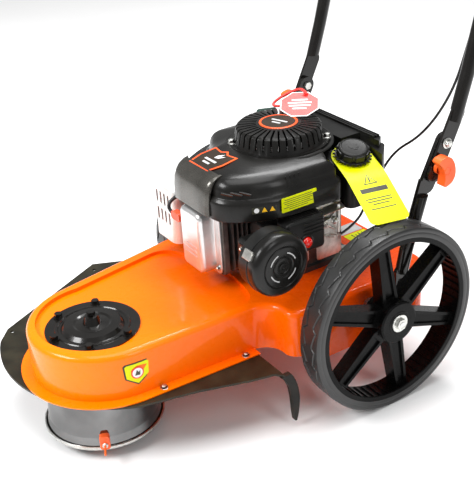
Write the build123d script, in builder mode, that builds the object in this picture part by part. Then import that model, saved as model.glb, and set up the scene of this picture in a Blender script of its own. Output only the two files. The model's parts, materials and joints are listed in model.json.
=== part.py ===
# Walk-behind brush cutter: two high wheels, a pressed deck, a vertical-shaft petrol
# engine, a belt-driven trimmer head under the nose and a folding handlebar.
# Millimetres. The row frame has its origin on the ground under the cutting spindle,
# -Y towards the nose, +X towards the operator's left, +Z up.
from build123d import *
from math import cos, hypot, radians, sin
import os

os.makedirs("parts", exist_ok=True)

# ---------------------------------------------------------------- driving dimensions
WHEEL_R = 177.8              # 14 inch wheel
WHEEL_WIDTH = 50.0
WHEEL_X = 253.5              # middle of each wheel
AXLE_Y = 457.0
AXLE_R = 8.0
CRANK_Y = 411.0              # crankshaft axis, parallel to the spindle axis
DECK_TOP = 216.0             # engine platform and rim of the deck
RECESS_FLOOR = 209.0         # sunk top panel round the spindle
FLANGE_Z = 126.0             # underside of the front flange
DECK_TAIL_Z = 101.0          # lower edge of the deck beside the wheels
DECK_SIDE_X = 200.0
DECK_REAR_Y = 607.0
SHEET = 2.5                  # pressed steel thickness
NOSE_X, NOSE_Y = -14.0, 29.0
NOSE_R = 138.0
SKIRT_T = 4.0
COVER_R = 84.0
COVER_BOLT_R = 73.0
BELT_Z = 138.0               # middle height of the belt
BELT_HALF = 5.0
SPINDLE_PULLEY_R = 52.0
ENGINE_PULLEY_R = 34.0
IDLER_R = 22.0
GAP = 0.3                    # air between curved faces of different bodies
RUN = 0.05                   # radial running clearance
DISH_R = 108.0
DISH_RIM_Z = 22.0
DISH_TOP_Z = 112.0
HOLDER_TURNS = (-26, 154)     # headings of the two line holders
TUBE_R = 12.5
PIVOT_Y, PIVOT_Z = 623.0, 452.0   # handle fold axis
KNOB_Y, KNOB_Z = 603.0, 412.0     # clamping knob below the fold axis
CAP_X, CAP_Y, CAP_Z = 100.0, 501.0, 426.0   # fuel cap seat
CAP_TILT = 15.0              # the filler leans out over the near wheel
TAG_TURN = -12.0             # heading of the filler's lean and of the tag, from +X
FILTER_Y, FILTER_Z = 270.0, 321.0           # air filter axis
CABLE_R = 2.5
SIDES = (("left", 1), ("right", -1))


def save(builder, node):
    builder.part.label = node
    export_step(builder.part, f"parts/{node}.step")


# ---------------------------------------------------------------- deck
NEAR_X = NOSE_X + NOSE_R
FAR_TANGENT = (-149.3, 2.0)


def vertex_near(sketch, x, y):
    return sketch.vertices().filter_by(lambda v: hypot(v.X - x, v.Y - y) < 1)


def deck_plan(grow):
    """Plan outline of the deck: round nose, narrow neck, wide tail between the wheels."""
    corners = [(130, 286, 38), (DECK_SIDE_X, 286, 25), (DECK_SIDE_X, DECK_REAR_Y, 38)]
    corners += [(-DECK_SIDE_X, DECK_REAR_Y, 38), (-DECK_SIDE_X, 258, 90)]
    with BuildSketch() as plan:
        with BuildLine():
            ThreePointArc(FAR_TANGENT, (NOSE_X, NOSE_Y - NOSE_R), (NEAR_X, NOSE_Y))
            Polyline((NEAR_X, NOSE_Y), *[(x, y) for x, y, radius in corners], FAR_TANGENT)
        make_face()
        for x, y, radius in corners:
            fillet(vertex_near(plan, x, y), radius)
        if grow:
            offset(amount=grow)
    return plan.sketch


def recess_plan(grow):
    """Outline of the sunk top panel: round at the spindle, a shallow arc behind."""
    near_corner, far_corner = (115, 262), (-166, 232)
    with BuildSketch() as plan:
        with BuildLine():
            ThreePointArc((-130, 30), (-17, -91), (95, 24))
            Line((95, 24), near_corner)
            ThreePointArc(near_corner, (0, 284), far_corner)
            Line(far_corner, (-130, 30))
        make_face()
        fillet(vertex_near(plan, *near_corner), 36)
        fillet(vertex_near(plan, *far_corner), 42)
        if grow:
            offset(amount=grow)
    return plan.sketch


with BuildPart() as deck_shell:
    with BuildSketch(Plane.XY.offset(FLANGE_Z)):
        add(deck_plan(0))
    extrude(amount=DECK_TOP - FLANGE_Z)
    with BuildSketch(Plane.XY.offset(DECK_TAIL_Z)):
        add(deck_plan(0))
        Rectangle(700, 660, mode=Mode.SUBTRACT)
    extrude(amount=FLANGE_Z - DECK_TAIL_Z + 1)
    fillet(deck_shell.edges().group_by(Axis.Z)[-1], 12)
    # front flange that stiffens the nose and neck
    with BuildSketch(Plane.XY.offset(FLANGE_Z)):
        add(deck_plan(20))
        with Locations((0, 600)):
            Rectangle(900, 700, mode=Mode.SUBTRACT)
    extrude(amount=SHEET)
    # hollow underneath
    with BuildSketch(Plane.XY.offset(DECK_TAIL_Z - 1)):
        add(deck_plan(-SHEET))
    extrude(amount=RECESS_FLOOR - SHEET - DECK_TAIL_Z + 1, mode=Mode.SUBTRACT)
    with BuildSketch(Plane.XY.offset(RECESS_FLOOR - SHEET)):
        add(deck_plan(-8))
        add(recess_plan(SHEET), mode=Mode.SUBTRACT)
    extrude(amount=DECK_TOP - RECESS_FLOOR, mode=Mode.SUBTRACT)
    # sunk top panel
    with BuildSketch(Plane.XY.offset(RECESS_FLOOR)):
        add(recess_plan(0))
    extrude(amount=30, mode=Mode.SUBTRACT)
    # openings for the spindle, the crankshaft and the axle
    with Locations((0, 0, RECESS_FLOOR)):
        Hole(34)
    with Locations((0, CRANK_Y, DECK_TOP)):
        Hole(40)
    with BuildSketch(Plane.YZ.offset(-300)):
        with Locations((AXLE_Y, WHEEL_R)):
            Circle(AXLE_R + RUN)
    extrude(amount=600, mode=Mode.SUBTRACT)
save(deck_shell, "deck_shell")

# ---------------------------------------------------------------- guards round the deck
SKIRT_TOP = FLANGE_Z - 0.5
SKIRT_EDGE = [(228, 247), (214, 235), (203, 190), (174, 106), (150, 5)]
SKIRT_FAR = [(-188, -112), (-222, -84), (-352, 160), (-322, 222), (-226, 262)]

with BuildPart() as guard_skirt:
    with BuildSketch(Plane.XY.offset(SKIRT_TOP - SKIRT_T)):
        with BuildLine():
            Polyline(SKIRT_EDGE)
            ThreePointArc(SKIRT_EDGE[-1], (NOSE_X - 20, NOSE_Y - NOSE_R - 27), SKIRT_FAR[0])
            Polyline(*SKIRT_FAR, (-120, 262), (-120, 247), SKIRT_EDGE[0])
        make_face()
        add(deck_plan(-8), mode=Mode.SUBTRACT)
        with Locations((-327, 152), (-286, 45), (-208, -80)):
            Circle(4, mode=Mode.SUBTRACT)
    extrude(amount=SKIRT_T)
save(guard_skirt, "guard_skirt")

with BuildPart() as mud_flaps:
    for s in (1, -1):
        with BuildSketch(Plane.YZ.offset(s * 221 - 5)):
            with BuildLine():
                Spline((240, 121), (253, 104), (262, 70), (267, 17))
                Line((267, 17), (271, 16))
                Spline((271, 16), (278, 55), (274, 95), (262, 121))
                Line((262, 121), (240, 121))
            make_face()
        extrude(amount=10)
save(mud_flaps, "mud_flaps")

# ---------------------------------------------------------------- spindle and its housing
with BuildPart() as spindle_cover:
    with BuildSketch(Plane.XZ):
        with BuildLine():
            Polyline(
                (0, RECESS_FLOOR),
                (COVER_R, RECESS_FLOOR),
                (COVER_R, RECESS_FLOOR + 2.5),
                (56, RECESS_FLOOR + 2.5),
                (50, RECESS_FLOOR + 9),
                (34, RECESS_FLOOR + 10),
                (30, RECESS_FLOOR + 8),
                (17, RECESS_FLOOR + 10),
                (12, RECESS_FLOOR + 24),
                (0, RECESS_FLOOR + 26),
                close=True,
            )
        make_face()
    revolve(axis=Axis.Z)
save(spindle_cover, "spindle_cover")

with BuildPart() as cover_bolts:
    places = [(COVER_BOLT_R * cos(radians(a)), COVER_BOLT_R * sin(radians(a))) for a in range(-210, 60, 60)]
    for x, y in places:
        with BuildSketch(Plane.XY.offset(RECESS_FLOOR + 2.5)):
            with Locations((x, y)):
                Circle(9)
        extrude(amount=2)
        with BuildSketch(Plane.XY.offset(RECESS_FLOOR + 4.5)):
            with Locations((x, y)):
                RegularPolygon(7, 6)
        extrude(amount=7)
    with BuildSketch(Plane.XY.offset(RECESS_FLOOR + 26)):
        RegularPolygon(7.5, 6)
    extrude(amount=6)
    for x, y in ((133, 60), (139, 225), (-178, 40), (-202, 190)):
        with BuildSketch(Plane.XY.offset(FLANGE_Z + SHEET)):
            with Locations((x, y)):
                RegularPolygon(6, 6)
        extrude(amount=4)
save(cover_bolts, "cover_bolts")

HOUSING_TOP = RECESS_FLOOR - SHEET
BEARING_R = 26.0
SHAFT_R = 12.5
with BuildPart() as spindle_housing:
    with BuildSketch(Plane.XZ):
        with BuildLine():
            Polyline(
                (BEARING_R, 152),
                (34, 152),
                (36, HOUSING_TOP - 14),
                (60, HOUSING_TOP - 6),
                (80, HOUSING_TOP - 6),
                (80, HOUSING_TOP),
                (BEARING_R, HOUSING_TOP),
                close=True,
            )
        make_face()
    revolve(axis=Axis.Z)
save(spindle_housing, "spindle_housing")

with BuildPart() as spindle_bearings:
    for base in (153, 186):
        with BuildSketch(Plane.XY.offset(base)):
            Circle(BEARING_R)
            Circle(SHAFT_R + RUN, mode=Mode.SUBTRACT)
        extrude(amount=14)
save(spindle_bearings, "spindle_bearings")

with BuildPart() as spindle_shaft:
    with BuildSketch(Plane.XY.offset(60)):
        Circle(SHAFT_R)
    extrude(amount=144)
save(spindle_shaft, "spindle_shaft")


def pulley_profile(radius):
    """Half section of a flanged V-belt pulley, in the XZ plane."""
    lip = radius + 9
    low, high = BELT_Z - BELT_HALF - 0.6, BELT_Z + BELT_HALF + 0.6
    with BuildSketch(Plane.XZ) as section:
        with BuildLine():
            Polyline(
                (SHAFT_R, low - 3),
                (lip, low - 3),
                (lip, low),
                (radius, low),
                (radius, high),
                (lip, high),
                (lip, high + 3),
                (SHAFT_R, high + 3),
                close=True,
            )
        make_face()
    return section.sketch


with BuildPart() as spindle_pulley:
    add(pulley_profile(SPINDLE_PULLEY_R))
    revolve(axis=Axis.Z)
save(spindle_pulley, "spindle_pulley")

with BuildPart() as engine_pulley:
    add(pulley_profile(ENGINE_PULLEY_R))
    revolve(axis=Axis.Z)
engine_pulley.part.position = (0, CRANK_Y, 0)
save(engine_pulley, "engine_pulley")

BELT_T = 8.0
with BuildPart() as drive_belt:
    with BuildSketch(Plane.XY.offset(BELT_Z - BELT_HALF)):
        for grow, mode in ((BELT_T, Mode.ADD), (0, Mode.SUBTRACT)):
            with BuildSketch(mode=Mode.PRIVATE) as loop:
                Circle(SPINDLE_PULLEY_R + GAP + grow)
                with Locations((0, CRANK_Y)):
                    Circle(ENGINE_PULLEY_R + GAP + grow)
                make_hull()
            add(loop.sketch, mode=mode)
    extrude(amount=2 * BELT_HALF)
save(drive_belt, "drive_belt")

# idler that presses on the back of the belt, on the wide side of the deck
BELT_TILT = (SPINDLE_PULLEY_R - ENGINE_PULLEY_R) / CRANK_Y
IDLER_Y = 190.0
IDLER_X = -(SPINDLE_PULLEY_R + 2 * GAP + BELT_T + IDLER_R - BELT_TILT * IDLER_Y) - 0.3
with BuildPart() as idler_pulley:
    with BuildSketch(Plane.XY.offset(BELT_Z - 8)):
        with Locations((IDLER_X, IDLER_Y)):
            Circle(IDLER_R)
            Circle(6 + RUN, mode=Mode.SUBTRACT)
    extrude(amount=16)
save(idler_pulley, "idler_pulley")

with BuildPart() as idler_stud:
    with BuildSketch(Plane.XY.offset(BELT_Z - 9)):
        with Locations((IDLER_X, IDLER_Y)):
            Circle(6)
    extrude(amount=HOUSING_TOP - BELT_Z + 9)
    with BuildSketch(Plane.XY.offset(BELT_Z - 14)):
        with Locations((IDLER_X, IDLER_Y)):
            RegularPolygon(9, 6)
    extrude(amount=5)
save(idler_stud, "idler_stud")

# ---------------------------------------------------------------- trimmer head
with BuildPart() as trimmer_dish:
    with BuildSketch(Plane.XZ):
        with BuildLine():
            Polyline(
                (SHAFT_R, DISH_TOP_Z),
                (88, DISH_TOP_Z),
                (97, DISH_TOP_Z - 10),
                (101, 44),
                (DISH_R - 3, DISH_RIM_Z + 6),
                (DISH_R, DISH_RIM_Z + 3),
                (DISH_R - 1, DISH_RIM_Z),
                (DISH_R - 5, DISH_RIM_Z + 2),
                (98.5, 44),
                (94.5, DISH_TOP_Z - 11),
                (87, DISH_TOP_Z - 2.5),
                (24, DISH_TOP_Z - 2.5),
                (22, 66),
                (SHAFT_R, 66),
                close=True,
            )
        make_face()
    revolve(axis=Axis.Z)
save(trimmer_dish, "trimmer_dish")

with BuildPart() as ground_glide:
    with BuildSketch(Plane.XZ):
        with BuildLine():
            Polyline((0, 0), (34, 0), (48, 10), (52, 24), (52, 44), (40, 56), (22, 58), (0, 58), close=True)
        make_face()
    revolve(axis=Axis.Z)
save(ground_glide, "ground_glide")

LINE_R = 2.0
with BuildPart() as line_holders:
    for turn in HOLDER_TURNS:
        plane = Plane.XY.offset(30).rotated((0, 0, turn))
        with BuildSketch(plane):
            with Locations((79, 0)):
                Rectangle(38, 16)
        extrude(amount=10)
save(line_holders, "line_holders")

with BuildPart() as trimmer_lines:
    for turn in HOLDER_TURNS:
        axis_dir = Vector(cos(radians(turn)), sin(radians(turn)), 0)
        start = axis_dir * 110 + Vector(0, 0, 35)
        with BuildSketch(Plane(origin=start, z_dir=axis_dir)):
            Circle(LINE_R)
        extrude(amount=28)
save(trimmer_lines, "trimmer_lines")

# ---------------------------------------------------------------- wheels and axle
def spoke_plan(start, end, start_half, end_half):
    with BuildSketch() as plan:
        with BuildLine():
            Polyline(
                (start, -start_half),
                (end, -end_half),
                (end, end_half),
                (start, start_half),
                close=True,
            )
        make_face()
    return plan.sketch


HUB_R = 37.0
HUB_IN, HUB_OUT = 228.0, 284.0
RIM_R = 159.5
with BuildPart() as axle:
    with BuildSketch(Plane.YZ.offset(-292)):
        with Locations((AXLE_Y, WHEEL_R)):
            Circle(AXLE_R)
    extrude(amount=584)
    for s in (1, -1):
        with BuildSketch(Plane.YZ.offset(s * DECK_SIDE_X)):
            with Locations((AXLE_Y, WHEEL_R)):
                Circle(13)
        extrude(amount=s * (HUB_IN - DECK_SIDE_X - 0.4))
save(axle, "axle")

with BuildPart() as axle_nuts:
    for s in (1, -1):
        with BuildSketch(Plane.YZ.offset(s * 284.4)):
            with Locations((AXLE_Y, WHEEL_R)):
                Circle(15)
                Circle(AXLE_R, mode=Mode.SUBTRACT)
        extrude(amount=s * 2)
        with BuildSketch(Plane.YZ.offset(s * 286.4)):
            with Locations((AXLE_Y, WHEEL_R)):
                RegularPolygon(11, 6)
                Circle(AXLE_R, mode=Mode.SUBTRACT)
        extrude(amount=s * 6)
save(axle_nuts, "axle_nuts")

for side, s in SIDES:
    middle = Plane(origin=(s * WHEEL_X, AXLE_Y, WHEEL_R), x_dir=(0, 1, 0), z_dir=(s, 0, 0))
    half = WHEEL_WIDTH / 2
    with BuildPart() as wheel:
        with BuildSketch(middle.offset(-half + 2)):
            Circle(RIM_R)
            Circle(RIM_R - 6, mode=Mode.SUBTRACT)
        extrude(amount=WHEEL_WIDTH - 4)
        with BuildSketch(middle.offset(HUB_IN - WHEEL_X)):
            Circle(HUB_R)
        extrude(amount=HUB_OUT - HUB_IN)
        with BuildSketch(middle.offset(-14)):
            with PolarLocations(0, 6, start_angle=39):
                add(spoke_plan(20, RIM_R - 3, 17, 12))
        extrude(amount=28)
        with BuildSketch(middle.offset(10)):
            with PolarLocations(0, 6, start_angle=39):
                add(spoke_plan(46, RIM_R - 14, 10, 7))
        extrude(amount=5, mode=Mode.SUBTRACT)
        with BuildSketch(middle.offset(-60)):
            Circle(AXLE_R + RUN)
        extrude(amount=120, mode=Mode.SUBTRACT)
    save(wheel, f"wheel_{side}")
    with BuildPart() as tyre:
        with BuildSketch(middle.offset(-half)):
            Circle(WHEEL_R)
            Circle(RIM_R, mode=Mode.SUBTRACT)
        extrude(amount=WHEEL_WIDTH)
        chamfer(tyre.edges().filter_by(GeomType.CIRCLE).sort_by(SortBy.RADIUS)[-2:], 3)
    save(tyre, f"tyre_{side}")

# ---------------------------------------------------------------- engine block
CRANKCASE_R = 86.0
CRANKCASE_TOP = 344.0
CYLINDER_Z = 315.0
HEAD_Y = 247.0
with BuildPart() as engine_block:
    with BuildSketch(Plane.XY.offset(DECK_TOP)):
        with Locations((0, CRANK_Y)):
            RectangleRounded(186, 196, 30)
    extrude(amount=10)
    with BuildSketch(Plane.XY.offset(DECK_TOP + 10)):
        with Locations((0, CRANK_Y)):
            Circle(CRANKCASE_R)
    extrude(amount=CRANKCASE_TOP - DECK_TOP - 10)
    with BuildSketch(Plane.XY.offset(CRANKCASE_TOP)):
        with Locations((0, CRANK_Y)):
            Circle(60)
    extrude(amount=26)
    with BuildSketch(Plane.XY.offset(CYLINDER_Z - 52)):
        with Locations((0, 320)):
            Rectangle(76, 124)
    extrude(amount=104)
    for y in range(264, 325, 10):
        with BuildSketch(Plane.XZ.offset(-y)):
            with Locations((0, CYLINDER_Z - 2)):
                RectangleRounded(112, 132, 14)
        extrude(amount=-3)
    with BuildSketch(Plane.XY.offset(DECK_TOP)):
        with Locations((0, CRANK_Y)):
            Circle(SHAFT_R + RUN)
    extrude(amount=CRANKCASE_TOP - DECK_TOP + 26, mode=Mode.SUBTRACT)
save(engine_block, "engine_block")

with BuildPart() as cylinder_head:
    with BuildSketch(Plane.XZ.offset(-HEAD_Y)):
        with Locations((0, CYLINDER_Z - 1)):
            RectangleRounded(104, 142, 10)
    extrude(amount=-11)
save(cylinder_head, "cylinder_head")

with BuildPart() as valve_cover:
    with BuildSketch(Plane.XZ.offset(-HEAD_Y)):
        with Locations((0, CYLINDER_Z - 1)):
            RectangleRounded(92, 138, 12)
    extrude(amount=4)
    with BuildSketch(Plane.XZ.offset(-HEAD_Y + 4)):
        with Locations((-5, CYLINDER_Z - 7)):
            RectangleRounded(70, 120, 14)
    extrude(amount=31)
    fillet(valve_cover.faces().sort_by(Axis.Y)[0].edges(), 9)
save(valve_cover, "valve_cover")

NUT_Z = 453.0                # seat of the starter nuts on the shroud
with BuildPart() as engine_fasteners:
    with BuildSketch(Plane.XY.offset(DECK_TOP + 10)):
        for x in (-80, 80):
            for y in (CRANK_Y - 85, CRANK_Y + 85):
                with Locations((x, y)):
                    RegularPolygon(8, 6)
    extrude(amount=7)
    with BuildSketch(Plane.XZ.offset(-HEAD_Y + 4)):
        for x in (-43.6, 38.5):
            for z in (CYLINDER_Z - 56, CYLINDER_Z + 52):
                with Locations((x, z)):
                    RegularPolygon(3.4, 6)
    extrude(amount=4)
    for angle in (-115, 52, 150):
        with BuildSketch(Plane.XY.offset(NUT_Z)):
            with Locations((87.7 * cos(radians(angle)), CRANK_Y + 87.7 * sin(radians(angle)))):
                RegularPolygon(3.4, 6)
        extrude(amount=6)
save(engine_fasteners, "engine_fasteners")

PLUG_X, PLUG_Z = -62.0, 330.0
with BuildPart() as spark_plug:
    with BuildSketch(Plane.XZ.offset(-HEAD_Y - 2)):
        with Locations((PLUG_X, PLUG_Z)):
            RegularPolygon(8, 6)
    extrude(amount=8)
    with BuildSketch(Plane.XZ.offset(-HEAD_Y + 6)):
        with Locations((PLUG_X, PLUG_Z)):
            Circle(4)
    extrude(amount=12)
save(spark_plug, "spark_plug")

with BuildPart() as spark_plug_boot:
    with BuildSketch(Plane.XZ.offset(-HEAD_Y + 7)):
        with Locations((PLUG_X, PLUG_Z)):
            Circle(9)
            Circle(4, mode=Mode.SUBTRACT)
    extrude(amount=11)
    with BuildSketch(Plane.XZ.offset(-HEAD_Y + 18)):
        with Locations((PLUG_X - 4, PLUG_Z)):
            RectangleRounded(30, 16, 6)
    extrude(amount=12)
save(spark_plug_boot, "spark_plug_boot")

# ---------------------------------------------------------------- exhaust
GUARD_X0, GUARD_X1 = -172.0, -88.0
GUARD_Y0, GUARD_Y1 = 228.0, 300.0
GUARD_Z0, GUARD_Z1 = 256.0, 367.0
with BuildPart() as muffler:
    with BuildSketch(Plane.XY.offset(GUARD_Z0 + 8)):
        with Locations(((GUARD_X0 + GUARD_X1) / 2, (GUARD_Y0 + GUARD_Y1) / 2 + 4)):
            RectangleRounded(68, 56, 20)
    extrude(amount=GUARD_Z1 - GUARD_Z0 - 18)
    with BuildSketch(Plane.YZ.offset(GUARD_X1 - 8)):
        with Locations((270, 320)):
            Circle(12)
    extrude(amount=32)
save(muffler, "muffler")

with BuildPart() as muffler_guard:
    centre = ((GUARD_X0 + GUARD_X1) / 2, (GUARD_Y0 + GUARD_Y1) / 2)
    with BuildSketch(Plane.XY.offset(GUARD_Z0)):
        with Locations(centre):
            RectangleRounded(GUARD_X1 - GUARD_X0, GUARD_Y1 - GUARD_Y0, 18)
    extrude(amount=GUARD_Z1 - GUARD_Z0)
    fillet(muffler_guard.faces().sort_by(Axis.Z)[-1].edges(), 6)
    with BuildSketch(Plane.XY.offset(GUARD_Z0)):
        with Locations(centre):
            RectangleRounded(GUARD_X1 - GUARD_X0 - 4, GUARD_Y1 - GUARD_Y0 - 4, 16)
    extrude(amount=GUARD_Z1 - GUARD_Z0 - 4, mode=Mode.SUBTRACT)
    with BuildSketch(Plane.XZ.offset(-GUARD_Y0 + 1)):
        with Locations((centre[0], 322)):
            with GridLocations(14, 36, 4, 2):
                SlotOverall(26, 6, rotation=90)
    extrude(amount=-8, mode=Mode.SUBTRACT)
    with BuildSketch(Plane.YZ.offset(GUARD_X1 + 1)):
        with Locations((270, 320)):
            Circle(14)
    extrude(amount=-8, mode=Mode.SUBTRACT)
save(muffler_guard, "muffler_guard")

# ---------------------------------------------------------------- crank train and starter
SHROUD_LOW, SHROUD_STEP, SHROUD_TOP = 372.0, 425.0, 450.0
with BuildPart() as crankshaft:
    with BuildSketch(Plane.XY.offset(BELT_Z - BELT_HALF - 6)):
        with Locations((0, CRANK_Y)):
            Circle(SHAFT_R)
    extrude(amount=SHROUD_TOP - BELT_Z + BELT_HALF + 6)
save(crankshaft, "crankshaft")

with BuildPart() as flywheel:
    with BuildSketch(Plane.XY.offset(384)):
        with Locations((0, CRANK_Y)):
            Circle(70)
            Circle(SHAFT_R, mode=Mode.SUBTRACT)
    extrude(amount=14)
    with BuildSketch(Plane.XY.offset(398)):
        with Locations((0, CRANK_Y)):
            with PolarLocations(54, 16):
                Rectangle(26, 3)
    extrude(amount=18)
save(flywheel, "flywheel")

REEL_R = 50.0
with BuildPart() as starter_reel:
    with BuildSketch(Plane.XY.offset(456)):
        with Locations((0, CRANK_Y)):
            Circle(REEL_R)
    extrude(amount=12)
    with BuildSketch(Plane.XY.offset(468)):
        with Locations((0, CRANK_Y)):
            Circle(14)
    extrude(amount=5)
save(starter_reel, "starter_reel")

RECOIL_TOP = 485.0
RECOIL_R = 84.0
with BuildPart() as recoil_cover:
    with BuildSketch(Plane.XZ):
        with BuildLine():
            Polyline(
                (RECOIL_R - 3, SHROUD_TOP),
                (RECOIL_R + 7, SHROUD_TOP),
                (RECOIL_R + 7, SHROUD_TOP + 3),
                (RECOIL_R, SHROUD_TOP + 3),
                (78, RECOIL_TOP - 6),
                (74, RECOIL_TOP - 2.5),
                (37, RECOIL_TOP - 0.5),
                (35, RECOIL_TOP),
                (0, RECOIL_TOP),
                (0, RECOIL_TOP - 4),
                (35, RECOIL_TOP - 4),
                (71, RECOIL_TOP - 6.5),
                (75, RECOIL_TOP - 10),
                (RECOIL_R - 3, SHROUD_TOP + 4),
                close=True,
            )
        make_face()
    revolve(axis=Axis.Z)
    with BuildSketch(Plane.XY.offset(SHROUD_TOP + 9)):
        with PolarLocations(66, 36, start_angle=5):
            Rectangle(50, 3.6)
    extrude(amount=40, mode=Mode.SUBTRACT)
recoil_cover.part.position = (0, CRANK_Y, 0)
save(recoil_cover, "recoil_cover")

PULL = Vector(-0.92, 0.392, 0)
with BuildPart() as starter_handle:
    grip = Plane(origin=Vector(0, CRANK_Y, 466) + PULL * 97, x_dir=(0.392, 0.92, 0), z_dir=PULL)
    with BuildSketch(grip):
        RectangleRounded(40, 13, 6)
    extrude(amount=14)
    fillet(starter_handle.edges().group_by(Axis.Z)[-1], 2)
save(starter_handle, "starter_handle")

# ---------------------------------------------------------------- engine covers
def shroud_plan(grow):
    """Plan outline of the blower housing: narrow nose, wide body, notch for the tank."""
    points = [(-58, 222), (78, 222), (112, 262), (134, 320), (138, 450)]
    points += [(60, 460), (60, 505), (-150, 505), (-152, 345), (-84, 303)]
    with BuildSketch() as plan:
        with BuildLine():
            Polyline(*points, close=True)
        make_face()
        for x, y, radius in ((78, 222, 12), (112, 262, 40), (134, 320, 60), (138, 450, 10)):
            fillet(vertex_near(plan, x, y), radius)
        for x, y, radius in ((-152, 345, 30), (-150, 505, 20), (-58, 222, 8)):
            fillet(vertex_near(plan, x, y), radius)
        if grow:
            offset(amount=grow)
    return plan.sketch


WALL = 3.0
with BuildPart() as engine_shroud:
    with BuildSketch(Plane.XY.offset(SHROUD_LOW)):
        add(shroud_plan(0))
    extrude(amount=SHROUD_STEP - SHROUD_LOW)
    fillet(engine_shroud.edges().group_by(Axis.Z)[-1], 7)
    with BuildSketch(Plane.XY.offset(SHROUD_STEP - 1)):
        add(shroud_plan(-16))
    extrude(amount=SHROUD_TOP - SHROUD_STEP + 1)
    fillet(engine_shroud.edges().group_by(Axis.Z)[-1], 5)
    with BuildSketch(Plane.XY.offset(SHROUD_LOW - 1)):
        add(shroud_plan(-WALL))
    extrude(amount=SHROUD_STEP - SHROUD_LOW - 5, mode=Mode.SUBTRACT)
    with BuildSketch(Plane.XY.offset(SHROUD_LOW - 1)):
        add(shroud_plan(-16 - WALL))
    extrude(amount=SHROUD_TOP - SHROUD_LOW - WALL + 1, mode=Mode.SUBTRACT)
    with Locations((0, CRANK_Y, SHROUD_TOP)):
        Hole(50)
save(engine_shroud, "engine_shroud")

with BuildPart() as shroud_front_panel:
    with BuildSketch(Plane.YZ.offset(-57)):
        with BuildLine():
            Polyline((221.9, 369), (221.9, 432), (216, 426), (212, 410), (212, 369), close=True)
        make_face()
    extrude(amount=115)
save(shroud_front_panel, "shroud_front_panel")

def tank_plan():
    points = [(-115, 506), (61, 506), (61, 461), (142, 461), (142, 538), (108, 570), (-115, 570)]
    with BuildSketch() as plan:
        with BuildLine():
            Polyline(*points, close=True)
        make_face()
        fillet(vertex_near(plan, 142, 538), 14)
        fillet(vertex_near(plan, 108, 570), 14)
        fillet(vertex_near(plan, -115, 570), 25)
        fillet(vertex_near(plan, 142, 461), 14)
    return plan.sketch


lean = radians(CAP_TILT)
heading = Vector(cos(radians(TAG_TURN)), sin(radians(TAG_TURN)), 0)
filler_plane = Plane(
    origin=(CAP_X, CAP_Y, CAP_Z),
    x_dir=heading * cos(lean) - Vector(0, 0, sin(lean)),
    z_dir=heading * sin(lean) + Vector(0, 0, cos(lean)),
)
NECK_R = 20.0
TAG_DROP = 4.4               # underside of the tag below the cap seat, square to the seat
with BuildPart() as fuel_tank:
    with BuildSketch(Plane.XY.offset(345)):
        add(tank_plan())
    extrude(amount=87)
    # sloping shoulder under the tag
    with BuildSketch(filler_plane.offset(-TAG_DROP - 2)):
        with Locations((13, -4)):
            Rectangle(104, 92)
    extrude(amount=60, mode=Mode.SUBTRACT)
    with BuildSketch(Plane.XY.offset(432)):
        with BuildLine():
            Polyline((-108, 506), (61, 506), (61, 550), (116, 550), (102, 566), (-108, 566), close=True)
        make_face()
    extrude(amount=14)
    with BuildSketch(Plane.XY.offset(446)):
        for y in (552, 557.5, 563):
            with Locations((-2, y)):
                Rectangle(204, 3)
    extrude(amount=4)
    with BuildSketch(filler_plane.offset(-TAG_DROP - 4)):
        Circle(NECK_R)
    extrude(amount=TAG_DROP + 8)
save(fuel_tank, "fuel_tank")

with BuildPart() as fuel_cap:
    with BuildSketch(filler_plane):
        Circle(29)
        with PolarLocations(29.5, 18):
            Circle(2.5)
    extrude(amount=20)
    fillet(fuel_cap.faces().sort_by(Axis(filler_plane.origin, filler_plane.z_dir))[-1].edges(), 1.5)
    with BuildSketch(filler_plane):
        Circle(NECK_R + GAP)
    extrude(amount=5, mode=Mode.SUBTRACT)
save(fuel_cap, "fuel_cap")

with BuildPart() as caution_tag:
    side_plane = Plane(
        origin=filler_plane.origin - filler_plane.z_dir * TAG_DROP,
        x_dir=heading,
        z_dir=(heading.Y, -heading.X, 0),
    )
    with BuildSketch(side_plane):
        with BuildLine():
            Polyline((-33, 8.84), (-32.7, 10), (56.8, -14), (153, -64.4), (152.4, -65.4), (56.4, -15.12), close=True)
        make_face()
    extrude(amount=38, both=True)
    with BuildSketch(filler_plane.offset(-TAG_DROP - 3)):
        Circle(NECK_R + 1)
    extrude(amount=12, mode=Mode.SUBTRACT)
save(caution_tag, "caution_tag")

# ---------------------------------------------------------------- air filter and carburettor
FILTER_R = 57.0
with BuildPart() as air_filter_base:
    with BuildSketch(Plane.YZ.offset(150)):
        with Locations((FILTER_Y, FILTER_Z)):
            Circle(FILTER_R - 1)
    extrude(amount=28)
    with BuildSketch(Plane.YZ.offset(154)):
        with Locations((FILTER_Y, FILTER_Z)):
            Circle(FILTER_R - 4)
    extrude(amount=30, mode=Mode.SUBTRACT)
    with BuildSketch(Plane.YZ.offset(112)):
        with Locations((FILTER_Y, FILTER_Z)):
            RectangleRounded(60, 58, 8)
    extrude(amount=38)
save(air_filter_base, "air_filter_base")

with BuildPart() as air_filter_element:
    with BuildSketch(Plane.YZ.offset(154)):
        with Locations((FILTER_Y, FILTER_Z)):
            Circle(49)
            Circle(25, mode=Mode.SUBTRACT)
    extrude(amount=22)
save(air_filter_element, "air_filter_element")

with BuildPart() as air_filter_cover:
    with BuildSketch(Plane.YZ.offset(178 + GAP)):
        with Locations((FILTER_Y, FILTER_Z)):
            Circle(FILTER_R)
    extrude(amount=25)
    chamfer(air_filter_cover.faces().sort_by(Axis.X)[-1].edges(), 7)
    with BuildSketch(Plane.YZ.offset(178 + GAP)):
        with Locations((FILTER_Y, FILTER_Z)):
            Circle(FILTER_R - 8)
    extrude(amount=21, mode=Mode.SUBTRACT)
save(air_filter_cover, "air_filter_cover")

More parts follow.
